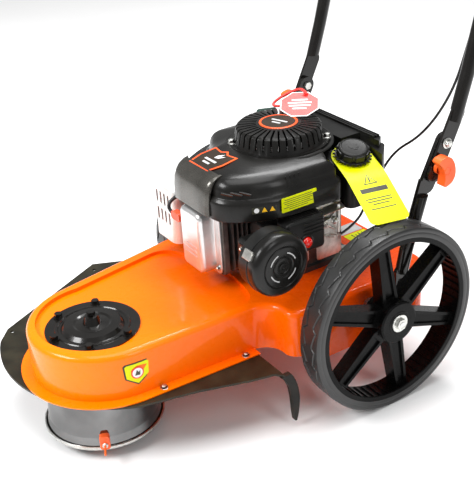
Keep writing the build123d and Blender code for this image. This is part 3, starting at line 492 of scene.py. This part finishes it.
def on_nose(u, v, w):
    """A place on the round nose: u along it, v up, w out of it."""
    x, y, z = NOSE
    angle = radians(-4.5) + u / NOSE_R
    r = NOSE_R + w
    return Vector((x + r * cos(angle), y + r * sin(angle), z + v)) * MM


def dense(outline, per_edge=5):
    """The same outline with extra points along its edges, so that it can follow a curved wall."""
    points = []
    for (u0, v0), (u1, v1) in zip(outline, outline[1:] + outline[:1]):
        for k in range(per_edge):
            t = k / per_edge
            points.append((u0 + (u1 - u0) * t, v0 + (v1 - v0) * t))
    return points


def build_nose_label():
    label = [(-25, 18), (-21, 21), (21, 21), (25, 18), (23, -8), (0, -24), (-23, -8)]
    layers = (("border", dense(label), PRINT_DARK),
              ("face", dense([(u * 0.88, v * 0.88) for u, v in label]), LOOKS["tag_yellow"]),
              ("ring", ring_of(28, 11.5), PRINT_RED),
              ("disc", ring_of(28, 9.3), PRINT_WHITE),
              ("mark", [(-5, -4), (-1, 6), (2, 1), (5, 4), (4, -5)], PRINT_DARK))
    heights = ((0.25, 0.55), (0.5, 0.8), (0.75, 1.0), (0.95, 1.2), (1.15, 1.4))
    for (word, outline, material), (low, high) in zip(layers, heights):
        slab(f"nose_label_{word}", on_nose, outline, low, high, "chassis", "tag_yellow", material)


build_deck_details()
build_nose_label()


def build_head():
    rim = [(106.6, 24.5), (108.6, 23.0), (109.6, 25.5), (109.2, 28.5), (107.2, 29.5), (105.6, 27.5)]
    lathe("dish_rolled_rim", facing_up(0, 0, 0), rim, "cutting_head", "dark_chrome", LOOKS["zinc"], steps=120,
          closed=True)
    for turn in (-26, 154):
        a = radians(turn)
        place = on((104 * cos(a), 104 * sin(a), 35), (0, 0, 1), (cos(a), sin(a), 0))
        slab(f"line_guide_{turn % 360}", place, shifted(rounded(28, 18, 5), 4, 0), -6, 8, "cutting_head",
             "holder_orange", bevel=1.5)
        slab(f"line_guide_foot_{turn % 360}", place, rounded(26, 11, 3), 0, 4, "cutting_head",
             "holder_orange", bevel=0.8)
        lathe(f"line_eyelet_{turn % 360}", place, [(2.2, 8), (2.2, 10.4), (4.4, 10.4), (5.2, 9.2), (5.2, 8)],
              "cutting_head", "zinc", steps=24)


build_head()


# ------------------------------------------------------------------ engine covers
def smooth_outline(points, radius, steps=6):
    """Rounds the corners of a polygon given as (x, y) points."""
    out = []
    n = len(points)
    for i in range(n):
        p = Vector(points[i])
        before = Vector(points[i - 1])
        after = Vector(points[(i + 1) % n])
        a = before - p
        b = after - p
        r = min(radius, 0.45 * a.length, 0.45 * b.length)
        start = p + a.normalized() * r
        end = p + b.normalized() * r
        for k in range(steps + 1):
            t = k / steps
            out.append(tuple(start * (1 - t) ** 2 + p * 2 * t * (1 - t) + end * t * t))
    return out


def inset(outline, amount):
    """Moves each point of a closed outline inwards along its normal."""
    n = len(outline)
    out = []
    for i in range(n):
        before = Vector(outline[i - 1])
        after = Vector(outline[(i + 1) % n])
        along = after - before
        if along.length < 1e-9:
            out.append(outline[i])
            continue
        along.normalize()
        out.append((outline[i][0] - along.y * amount, outline[i][1] + along.x * amount))
    return out


SHROUD = [(-58, 224), (78, 224), (112, 262), (134, 320), (138, 410), (138, 449), (61, 459), (61, 504),
          (-152, 504), (-152, 345), (-84, 303)]
SHROUD_BRIM = 441.5             # height at which the rounded side meets the roof
STARTER_HOLE_R = 62


def shroud_height(y):
    """Top of the shroud: level round the starter and falling to the nose."""
    front = max(0.0, (318 - y) / 90.0)
    return 450.0 - 9.0 * min(1.0, front) ** 1.4


def build_shroud():
    outline = smooth_outline(SHROUD, 22)
    rings = [(inset(outline, 1.5), 372.0), (outline, 373.5), (outline, 402.0), (inset(outline, 1.5), 406.0),
             (inset(outline, 7), 410.0), (inset(outline, 8.5), 412.0), (inset(outline, 9.5), 424.0),
             (inset(outline, 12), 431.0), (inset(outline, 17), 437.0), (inset(outline, 24), SHROUD_BRIM)]
    verts, faces = [], []
    n = len(outline)
    for ring, z in rings:
        verts += [Vector((x, y, min(z, shroud_height(y)))) * MM for x, y in ring]
    hole = [(x, CRANK_Y + y) for x, y in ring_of(n, STARTER_HOLE_R, radians(-135))]
    last = rings[-1][0]
    levels = 6
    for level in range(1, levels + 1):
        t = level / levels
        for (x, y), (hx, hy) in zip(last, hole):
            px, py = x + (hx - x) * t, y + (hy - y) * t
            rise = (shroud_height(py) - SHROUD_BRIM) * min(1.0, t * 2.2)
            verts.append(Vector((px, py, SHROUD_BRIM + rise)) * MM)
    total = len(verts) // n
    for r in range(total - 1):
        for i in range(n):
            j = (i + 1) % n
            faces.append((r * n + i, r * n + j, (r + 1) * n + j, (r + 1) * n + i))
    skin = mesh_piece("shroud_skin", verts, faces, "chassis", "black_gloss", sharp=38)
    wall = skin.modifiers.new("Wall", "SOLIDIFY")
    wall.thickness = 2.2 * MM
    wall.offset = -1
    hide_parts("engine_shroud")


build_shroud()


def build_shroud_details():
    flat = on((-6, 273, 447.6), (1, 0.02, 0), (0, -0.12, 1))
    shield = [(-30, -33), (30, -33), (36, -4), (34, 30), (10, 26), (-1, 34), (-12, 26), (-36, 30), (-38, -4)]
    slab("shield_edge", flat, shield, 0.2, 1.2, "chassis", "black_gloss", BADGE_ORANGE)
    slab("shield_face", flat, [(u * 0.88, v * 0.86) for u, v in shield], 1.0, 1.6, "chassis", "black_gloss",
         BADGE_BROWN)
    slab("shield_mark", flat, [(-3, 12), (6, 22), (4, 12), (14, 17), (7, 6), (-2, 3)], 1.5, 1.9, "chassis",
         "black_gloss", PRINT_WHITE)
    for k, (width, down) in enumerate(((34, -6), (20, -16))):
        slab(f"shield_bar_{k}", flat, shifted(rounded(width, 5, 1.2), 0, down), 1.5, 1.8, "chassis",
             "black_gloss", PRINT_GREY)
    side = facing_left(138.2, 353, 396)
    slab("side_label", side, rounded(74, 27, 2), 0.1, 0.7, "chassis", "tag_yellow", LOOKS["tag_yellow"])
    for k, width in enumerate((58, 64, 60, 50, 62, 40)):
        slab(f"side_label_line_{k}", side, shifted(rounded(width, 1.1, 0.4), -2, 9 - 3.7 * k), 0.65, 0.85,
             "chassis", "tag_yellow", PRINT_DARK)
    corner = on((123.6, 290, 393), (0.36, 1, 0), (1, -0.36, 0))
    slab("strip_base", corner, rounded(44, 12, 1), 0.6, 1.2, "chassis", "tag_yellow", PRINT_DARK)
    triangle = [(-5, -4.2), (5, -4.2), (0, 4.6)]
    marks = ((ring_of(16, 4.6), PRINT_WHITE), (triangle, LABEL_AMBER), (triangle, LABEL_AMBER))
    for k, (mark, material) in enumerate(marks):
        slab(f"strip_mark_{k}", corner, shifted(mark, -14 + 14 * k, 0), 1.1, 1.4, "chassis", "tag_yellow",
             material)
    for k in range(3):
        place = on((93 + 8.5 * k, 236 + 13 * k, 425.6), (0.8, 0.5, 0), (0.3, -0.25, 0.9))
        slab(f"louvre_{k}", place, rounded(22, 3.0, 1.2), -1.5, 1.6, "chassis", "black_gloss", bevel=0.5)
    for k in range(4):
        place = on((124.6, 338 + 9 * k, 430), (0, 0, 1), (1, 0, 0.35))
        slab(f"side_rib_{k}", place, rounded(20, 2.6, 1.2), -1, 1.4, "chassis", "black_gloss", bevel=0.4)
    seat = [(100, 0.2), (98.5, 2.2), (95, 2.6), (92.5, 1.2), (80, 1.2)]
    lathe("starter_seat", facing_up(0, CRANK_Y, 448.2), seat, "chassis", "black_gloss", steps=96)


build_shroud_details()


def build_rear_label():
    place = facing_up(40, 566, DECK_TOP)
    for word, width, along, material in (("grey", 34, -38, PRINT_GREY),
                                         ("yellow", 44, 4, LOOKS["tag_yellow"])):
        slab(f"rear_label_{word}", place, shifted(rounded(width, 52, 3), along, 0), 0.1, 0.5, "chassis",
             "deck_paint", material)
    for k, width in enumerate((30, 34, 26, 32)):
        slab(f"rear_label_line_{k}", place, shifted(rounded(width, 2, 0.6), 4, 14 - 8 * k), 0.45, 0.7,
             "chassis", "deck_paint", PRINT_DARK)


build_rear_label()


def build_front_panel():
    profile = [(246, 446), (236, 443.5), (227, 438), (221, 430), (217, 419), (215, 404), (214, 388),
               (214, 376), (217, 376), (217.5, 404), (220, 418), (225, 430), (232, 439), (246, 443)]
    columns = [-57, -54, -51, -28, 0, 28, 50, 54, 57]
    set_back = {57: 5.0, 54: 1.5}
    verts, faces = [], []
    n = len(profile)
    for x in columns:
        back = set_back.get(abs(x), 0.0)
        verts += [Vector((x, y + back, z)) * MM for y, z in profile]
    for c in range(len(columns) - 1):
        for i in range(n):
            j = (i + 1) % n
            faces.append((c * n + i, (c + 1) * n + i, (c + 1) * n + j, c * n + j))
    faces += [tuple(range(n)), tuple(reversed(range((len(columns) - 1) * n, len(columns) * n)))]
    panel = mesh_piece("front_panel_skin", verts, faces, "chassis", "panel_silver", sharp=30)
    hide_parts("shroud_front_panel")


build_front_panel()


NUT_CIRCLE_R = 87.7
ROPE_R = 1.6
PULL = Vector((-0.92, 0.392, 0))        # the way the starter's grip comes out


def build_starter_details():
    soften("recoil_cover", 0.7)
    top = on((0, CRANK_Y, 485), (0.94, 0.34, 0), (0, 0, 1))
    lathe("badge_rim", top, [(35.4, -1.0), (35.4, 0.8), (34.2, 1.3), (31.4, 1.3), (31.0, 0.7)], "chassis",
          "black_gloss", BADGE_ORANGE)
    lathe("badge_disc", top, [(31.2, 0.2), (31.0, 0.9), (0, 1.0)], "chassis", "black_gloss", BADGE_BROWN)
    for k, (width, up) in enumerate(((34, 4), (18, -7))):
        slab(f"badge_bar_{k}", top, shifted(rounded(width, 5, 1.2), 0, up), 0.8, 1.25, "chassis",
             "black_gloss", PRINT_GREY)
    for k, angle in enumerate((-115, 52, 150)):
        a = radians(angle)
        foot = facing_up(NUT_CIRCLE_R * cos(a), CRANK_Y + NUT_CIRCLE_R * sin(a), 453)
        bolt_head(f"starter_nut_{k}", foot, 5.2, 8, "chassis", washer=1.6)
    soften("starter_handle", 2.0, 3)
    rope = [Vector((0, CRANK_Y, 464.5)) + PULL * reach for reach in (78, 84, 90, 96, 100)]
    cord = bendable_rod("starter_rope", rope, ROPE_R, "cable_black")
    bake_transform(cord)


build_starter_details()


def build_filter():
    face = facing_left(*FILTER)
    profile = [(50, 0), (57, 0), (57.3, 1), (57.3, 13), (56.4, 17), (53.5, 21), (49.5, 23.4), (44, 24.6),
               (39.5, 24.8), (38.5, 23.4), (36.8, 23.2), (36, 24.4), (34.5, 24.8), (21, 24.4), (19.8, 23.2),
               (17.6, 23.0), (16.6, 24.2), (12, 24.4), (11, 22.4), (6.5, 22.2), (6.0, 23.8), (4.5, 24.0),
               (3.8, 22.6), (0, 22.4)]
    cover = lathe("filter_lid_skin", face, profile, "filter_lid", "black_gloss", steps=96)
    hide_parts("air_filter_cover")
    for k, start in enumerate((20, 110, 200, 290)):
        angles = [radians(start + 5 * step) for step in range(11)]
        arc = [(27.4 * cos(a), 27.4 * sin(a)) for a in angles]
        arc += [(25.4 * cos(a), 25.4 * sin(a)) for a in reversed(angles)]
        slab(f"lid_print_{k}", face, arc, 24.45, 24.75, "filter_lid", "black_gloss", PRINT_GREY)
    lathe("filter_cup_lip", face, [(56.2, -4.0), (58.0, -3.6), (58.2, -1.4), (56.6, -0.6)], "chassis",
          "black_plastic", steps=96)
    clip = on(FILTER, (0, -0.86, 0.5), (1, 0, 0))
    slab("lid_clip", clip, shifted(rounded(5, 17, 1.5), 59.2, 0), -14, 8, "chassis", "bracket_zinc",
         bevel=0.6)
    slab("lid_clip_hook", clip, shifted(rounded(9, 12, 1.5), 57.2, 0), 8, 10, "chassis", "bracket_zinc",
         bevel=0.5)
    soften("air_filter_base", 1.2)
    neck = facing_front(131, 240, 321)
    slab("neck_panel", neck, rounded(34, 44, 3), 0.0, 1.6, "chassis", "black_plastic", bevel=0.6)
    bolt_head("neck_screw", facing_front(124, 239, 334), 3.4, 3.6, "chassis", washer=0.8)


build_filter()


def build_carburettor():
    soften("carb_cover", 1.5, 3)
    soften("carburettor", 1.0)
    for k in range(5):
        slab(f"carb_rib_{k}", on((134, 366, 362), (0, 1, 0), (0, 0, 1)),
             shifted(rounded(62, 2.6, 1.1), 0, 11 - 5.5 * k),
             -0.5, 1.6, "chassis", "black_plastic", bevel=0.4)
    for k in range(4):
        slab(f"carb_louvre_{k}", facing_left(150, 374, 352 - 7 * k), rounded(44, 2.8, 1.2), -0.4, 1.6,
             "chassis", "black_plastic", bevel=0.4)
    bulb = facing_left(*BULB)
    dome = lathe("bulb_skin", bulb, [(10.6, -6), (10.6, 2), (10.2, 5.5), (8.6, 8.6), (5.6, 10.6), (0, 11.4)],
                 "primer", "bulb_red", steps=40)
    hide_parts("primer_bulb")
    collar = [(11.3, 0), (11.6, 2.6), (13.2, 3.0), (15, 1.8), (15.4, 0)]
    lathe("bulb_collar", facing_left(150, 357, 318), collar, "chassis", "black_plastic", steps=40)


build_carburettor()


def spring(name, start, end, radius, wire, turns, body, slot):
    """A coil spring of wire from start to end."""
    a, b = Vector(start), Vector(end)
    axis = (b - a).normalized()
    u = axis.orthogonal().normalized()
    v = axis.cross(u)
    points = []
    count = turns * 10
    for k in range(count + 1):
        t = k / count
        turn = 2 * pi * turns * t
        points.append(a + (b - a) * t + (u * cos(turn) + v * sin(turn)) * radius)
    rod(name, points, wire, body, slot)


def build_controls():
    soften("control_bracket", 0.5)
    soften("brake_lever", 0.4)
    rod("brake_rod", [(127, 447, 300), (127, 447, 330), (127, 447, 356)], 2.2, "chassis", "bracket_zinc")
    bolt_head("rod_nut", facing_up(127, 447, 350), 4.6, 7, "chassis")
    bolt_head("lever_screw", facing_left(128, 438, 326), 5.2, 5, "chassis", washer=1.2)
    spring("governor_spring", (122, 404, 306), (124, 440, 292), 3.4, 0.6, 9, "chassis", "bracket_zinc")
    spring("brake_spring", (123, 412, 342), (125, 452, 348), 3.0, 0.6, 9, "chassis", "bracket_zinc")
    rod("governor_link", [(110, 330, 366), (118, 372, 369), (121, 420, 356), (122, 436, 340)], 1.1, "chassis",
        "bracket_zinc")
    rod("choke_link", [(152, 398, 340), (150, 412, 330), (134, 424, 318), (126, 440, 308)], 1.1, "chassis",
        "bracket_zinc")
    slab("linkage_plate", on((126, 424, 352), (0, 1, 0.1), (0.4, 0, 1)), rounded(66, 22, 4), 0, 1.4,
         "chassis", "bracket_zinc", bevel=0.4)
    cam = [(-16, -5), (0, -9), (15, -4), (16, 4), (2, 8), (-14, 5)]
    slab("linkage_cam", on((126, 418, 322), (0, 1, 0.6), (1, 0, 0)), cam, 0, 1.6, "chassis", "bracket_zinc",
         bevel=0.4)
    bolt_head("cam_screw", facing_left(127.5, 418, 322), 4.2, 4, "chassis")
    slab("fuel_bowl", facing_up(132, 352, 284), rounded(30, 34, 10), -8, 13, "chassis",
         "bracket_zinc", bevel=2.0)


build_controls()


def build_cylinder():
    soften("valve_cover", 7.0, 4)
    soften("cylinder_head", 1.0)
    soften("muffler_guard", 1.2)
    place = facing_front(-5, 212, 306)
    for k in range(3):
        slab(f"cover_rib_{k}", place, shifted(rounded(40, 4, 1.8), 0, -26 + 9 * k), -0.5, 0.9, "chassis",
             "cover_silver", bevel=0.5)
    for x, z in ((-43.6, 258), (38.5, 258), (-43.6, 366), (38.5, 366)):
        bolt_head(f"head_screw_{int(x)}_{z}".replace("-", "m"), facing_front(x, 243, z), 4.2, 6,
                  "chassis", washer=1.4)
    soften("spark_plug_boot", 2.0, 3)
    rod("plug_lead", [(-76, 222, 330), (-88, 216, 336), (-90, 222, 352), (-82, 246, 364), (-66, 262, 376)],
        3.4, "chassis", "cable_black")


build_cylinder()


# ------------------------------------------------------------------ tank, cap and tags
CAP_SEAT = (100, 501, 426)
TAG_TURN = radians(-12)
CAP_LEAN = radians(15)
TAG_HALF = 38.0                 # half the tag's width, and the radius of its end round the filler
TAG_END = 163.0                 # from the filler's middle to the far end
TAG_CORNER = 12.0
HEADING = Vector((cos(TAG_TURN), sin(TAG_TURN), 0))
FILLER = on(CAP_SEAT, HEADING, HEADING * sin(CAP_LEAN) + Vector((0, 0, cos(CAP_LEAN))))


def build_tank():
    soften("fuel_tank", 3.0, 3)
    profile = [(20.4, 0), (31.6, 0), (32.0, 0.8), (32.0, 3.2), (31.2, 4.0), (27.6, 4.4), (27.8, 15.5),
               (26.6, 18.6), (24.6, 20.0), (23.2, 20.2), (22.4, 19.6), (21.0, 19.4), (0, 19.4)]
    lid = lathe("cap_skin", FILLER, profile, "cap", "black_plastic", steps=96)
    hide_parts("fuel_cap")
    foot, tip = [((30.0, -1.9), (out, -1.4), (out, 1.4), (30.0, 1.9)) for out in (35.6, 35.0)]
    bricks_round("cap_teeth", FILLER, 22, ((0.3, foot), (3.4, tip)), "cap", "black_plastic", bevel=0.4)
    for k in range(8):
        a = radians(45 * k)
        upwards = FILLER(0, 0, 1) - FILLER(0, 0)
        outwards = FILLER(cos(a), sin(a)) - FILLER(0, 0)
        lug = on(FILLER(27.4 * cos(a), 27.4 * sin(a), 10.4) / MM, upwards, outwards)
        slab(f"cap_flat_{k}", lug, rounded(11.5, 17, 2.5), -2, 2.2, "cap", "black_plastic", bevel=1.0)
    pump = [(-6, -8), (4, -8), (4, -2), (8, -4), (9, 4), (6, 6), (5, 1), (4, 8), (-6, 8)]
    slab("cap_pump_mark", FILLER, pump, 19.3, 19.9, "cap", "black_plastic", bevel=0.2)


def tag_shape(u):
    """A distance along the tag as (reach, height): square to the cap at first, then bending down."""
    lean, droop = CAP_LEAN, radians(27.7)
    first, ease = 44.0, 26.0
    if u <= first:
        return u * cos(lean), -u * sin(lean)
    reach, height = first * cos(lean), -first * sin(lean)
    bent = min(u - first, ease)
    middle = lean + (droop - lean) * bent / ease / 2
    reach += bent * cos(middle)
    height -= bent * sin(middle)
    rest = max(0.0, u - first - ease)
    return reach + rest * cos(droop), height - rest * sin(droop)


def tag_piece(name, outline_half, low, high, material, steps=60, u0=-TAG_HALF, u1=TAG_END):
    """A bent sheet on the line of the tag: outline_half gives half its width at each distance u."""
    start = Vector(CAP_SEAT) - 4.2 * Vector((HEADING.x * sin(CAP_LEAN), HEADING.y * sin(CAP_LEAN),
                                             cos(CAP_LEAN)))
    across = Vector((-HEADING.y, HEADING.x, 0))
    verts, faces = [], []
    for side in (low, high):
        for k in range(steps + 1):
            u = u0 + (u1 - u0) * k / steps
            reach, height = tag_shape(u)
            for e in (-1, -0.5, 0, 0.5, 1):
                verts.append((start + HEADING * reach + across * e * outline_half(u)
                              + Vector((0, 0, height + side))) * MM)
    half = (steps + 1) * 5
    for k in range(steps):
        for i in range(4):
            a = k * 5 + i
            faces.append((a, a + 1, a + 6, a + 5))
            faces.append((half + a + 5, half + a + 6, half + a + 1, half + a))
        for i in (0, 4):
            a = k * 5 + i
            faces.append((a, a + 5, half + a + 5, half + a))
    for k in (0, steps):
        for i in range(4):
            a = k * 5 + i
            faces.append((a, a + 1, half + a + 1, half + a))
    return mesh_piece(name, verts, faces, "chassis", "tag_yellow", material)


def tag_width(u):
    """Half the width at a distance along the tag: round at the filler, with round corners at the far end."""
    straight_end = TAG_END - TAG_CORNER
    if u < 0:
        return max(0.5, sqrt(max(0.0, TAG_HALF ** 2 - u * u)))
    if u > straight_end:
        return TAG_HALF - TAG_CORNER + sqrt(max(0.0, TAG_CORNER ** 2 - (u - straight_end) ** 2))
    return TAG_HALF


def build_tag():
    tag = tag_piece("tag_skin", tag_width, 0.0, 0.9, LOOKS["tag_yellow"])
    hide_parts("caution_tag")
    for k, (u, half, tall) in enumerate(((85, 26, 10), (108, 25, 2), (114, 24, 2), (120, 16, 2),
                                         (130, 24, 2))):
        tag_piece(f"tag_line_{k}", lambda at, h=half: h, 0.9, 1.15, PRINT_DARK, 6, u, u + tall)
    tag_piece("tag_triangle", lambda at: max(0.3, (at - 55.0) * 0.62), 0.9, 1.1, PRINT_DARK, 12, 55.0, 77.0)
    tag_piece("tag_triangle_inner", lambda at: max(0.3, (at - 58.5) * 0.62), 1.05, 1.25, LOOKS["tag_yellow"],
              12, 58.5, 75.0)
    tag_piece("tag_triangle_mark", lambda at: 1.3, 1.2, 1.4, PRINT_DARK, 4, 62.0, 73.0)


def build_stop_tag():
    place = on((-20, 474, 497), (0.62, 0.78, 0.0), (0.22, -0.2, 0.95))
    slab("octagon_edge", place, ring_of(8, 39, radians(22.5)), 0, 0.8, "chassis", "boot_red", PRINT_WHITE)
    slab("octagon_face", place, ring_of(8, 36.5, radians(22.5)), 0.6, 1.2, "chassis", "boot_red", TAG_RED)
    for k, width in enumerate((30, 44, 40, 26)):
        slab(f"octagon_line_{k}", place, shifted(rounded(width, 4, 1), 0, 12 - 8.5 * k), 1.15, 1.4, "chassis",
             "boot_red", PRINT_WHITE)
    rod("octagon_loop", [(-30, 498, 508), (-50, 505, 512), (-72, 500, 505), (-92, 480, 490), (-98, 462, 476),
                         (-70, 470, 480), (-44, 486, 496), (-32, 496, 507)], 2.6, "chassis", "boot_red",
        TAG_RED)


build_tank()
build_tag()
build_stop_tag()


# ------------------------------------------------------------------ handles
def build_handles():
    for side, s in (("left", 1), ("right", -1)):
        soften(f"lower_handle_{side}", 1.2)
        for k, (y, z, x) in enumerate(((531, 197, 208.9), (623, 452, 213.1))):
            bolt_head(f"handle_bolt_{side}_{k}", on((s * x, y, z), (0, 1, 0), (s, 0, 0)), 7.4, 7, "chassis")
        wing = [(-9, 28), (6, 27), (15, 20), (19, 8), (19, -6), (15, -19), (5, -28), (-10, -29), (-16, -25),
                (-9, -14), (-6, 0), (-9, 14), (-15, 24)]
        wing = [(s * u, v) for u, v in wing]
        knob_x, knob_y, knob_z = KNOB
        place = on((s * knob_x, knob_y, knob_z), (0, s, s * 0.3), (s, 0, 0))
        knob = slab(f"wing_knob_{side}", place, smooth_outline(wing, 6, 3), 0, 19, f"{side}_knob",
                    "knob_orange", bevel=2.6, segments=3)
        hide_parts(f"handle_knob_{side}")
        lathe(f"knob_hub_{side}", place, [(4.2, -6), (10.5, -6), (11.5, -5), (11.5, 3)], f"{side}_knob",
              "knob_orange", steps=32)
        lathe(f"knob_dimple_{side}", place, [(7.5, 18.9), (7.0, 19.5), (6.2, 19.3), (5.4, 17.4), (0, 17.0)],
              f"{side}_knob", "knob_orange", steps=32)
    route = [(124, 455, 292), (105, 508, 290), (72, 558, 305), (55, 604, 345), (72, 628, 392),
             (118, 642, 428),
             (160, 650, 482), (188, 662, 545), (190, 682, 604), (190, 703, 662), (190, 733, 716),
             (188, 770, 768)]
    cable = bendable_rod("control_cable", route, 2.5, "cable_black")
    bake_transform(cable)
    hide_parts("control_cable_lower", "control_cable_upper")


build_handles()


# ------------------------------------------------------------------ stage, light and camera
def build_stage():
    data = bpy.data.meshes.new("floor")
    size = 6.0
    data.from_pydata([(-size, -size, 0), (size, -size, 0), (size, size, 0), (-size, size, 0)], [],
                     [(0, 1, 2, 3)])
    floor = bpy.data.objects.new("floor", data)
    bpy.context.scene.collection.objects.link(floor)
    data.materials.append(look("floor_pale", (0.93, 0.93, 0.93), (0.96, 0.96, 0.96), (0.7, 0.8), mottle=2.0,
                               bump=0.02,
                                specular=0.1))
    bpy.context.scene.view_settings.view_transform = "Standard"
    world = bpy.data.worlds.new("studio")
    bpy.context.scene.world = world
    world.use_nodes = True
    world.node_tree.nodes["Background"].inputs["Color"].default_value = (1, 1, 1, 1)
    world.node_tree.nodes["Background"].inputs["Strength"].default_value = 0.38


def soft_light(name, place, aim, size, power):
    """A white rectangular lamp in metres and watts, turned to the point aim."""
    data = bpy.data.lights.new(name, "AREA")
    data.shape = "RECTANGLE"
    data.size, data.size_y = size
    data.energy = power
    lamp = bpy.data.objects.new(name, data)
    bpy.context.scene.collection.objects.link(lamp)
    lamp.location = place
    lamp.rotation_euler = (Vector(aim) - Vector(place)).to_track_quat("-Z", "Y").to_euler()


def build_lights():
    soft_light("key_window", (-0.4, -2.2, 2.4), (0, 0.3, 0.2), (1.6, 1.0), 95)
    soft_light("side_window", (2.6, 0.6, 1.8), (0, 0.4, 0.3), (0.8, 1.6), 18)
    soft_light("back_strip", (-0.8, 1.6, 3.0), (0, 0.4, 0.4), (2.0, 0.5), 70)
    soft_light("overhead", (0.2, 0.2, 3.2), (0, 0.3, 0.2), (2.2, 2.2), 60)


def build_camera():
    """Stands to the left of the nose and looks down at the machine, with a slight roll."""
    azimuth, height, roll = radians(58.48), radians(28.23), radians(-3.70)
    back = Vector((sin(azimuth) * cos(height), -cos(azimuth) * cos(height), sin(height)))
    right = Vector((cos(azimuth), sin(azimuth), 0))
    up = back.cross(right)
    right, up = right * cos(roll) + up * sin(roll), up * cos(roll) - right * sin(roll)
    data = bpy.data.cameras.new("camera")
    data.lens = 72.93
    data.sensor_width = 36.0
    data.sensor_fit = "AUTO"
    camera = bpy.data.objects.new("camera", data)
    bpy.context.scene.collection.objects.link(camera)
    turn = Matrix((right, up, back)).transposed().to_4x4()
    camera.matrix_world = Matrix.Translation((1.42111, -0.56570, 1.15203)) @ turn
    bpy.context.scene.camera = camera


build_stage()
build_lights()
build_camera()
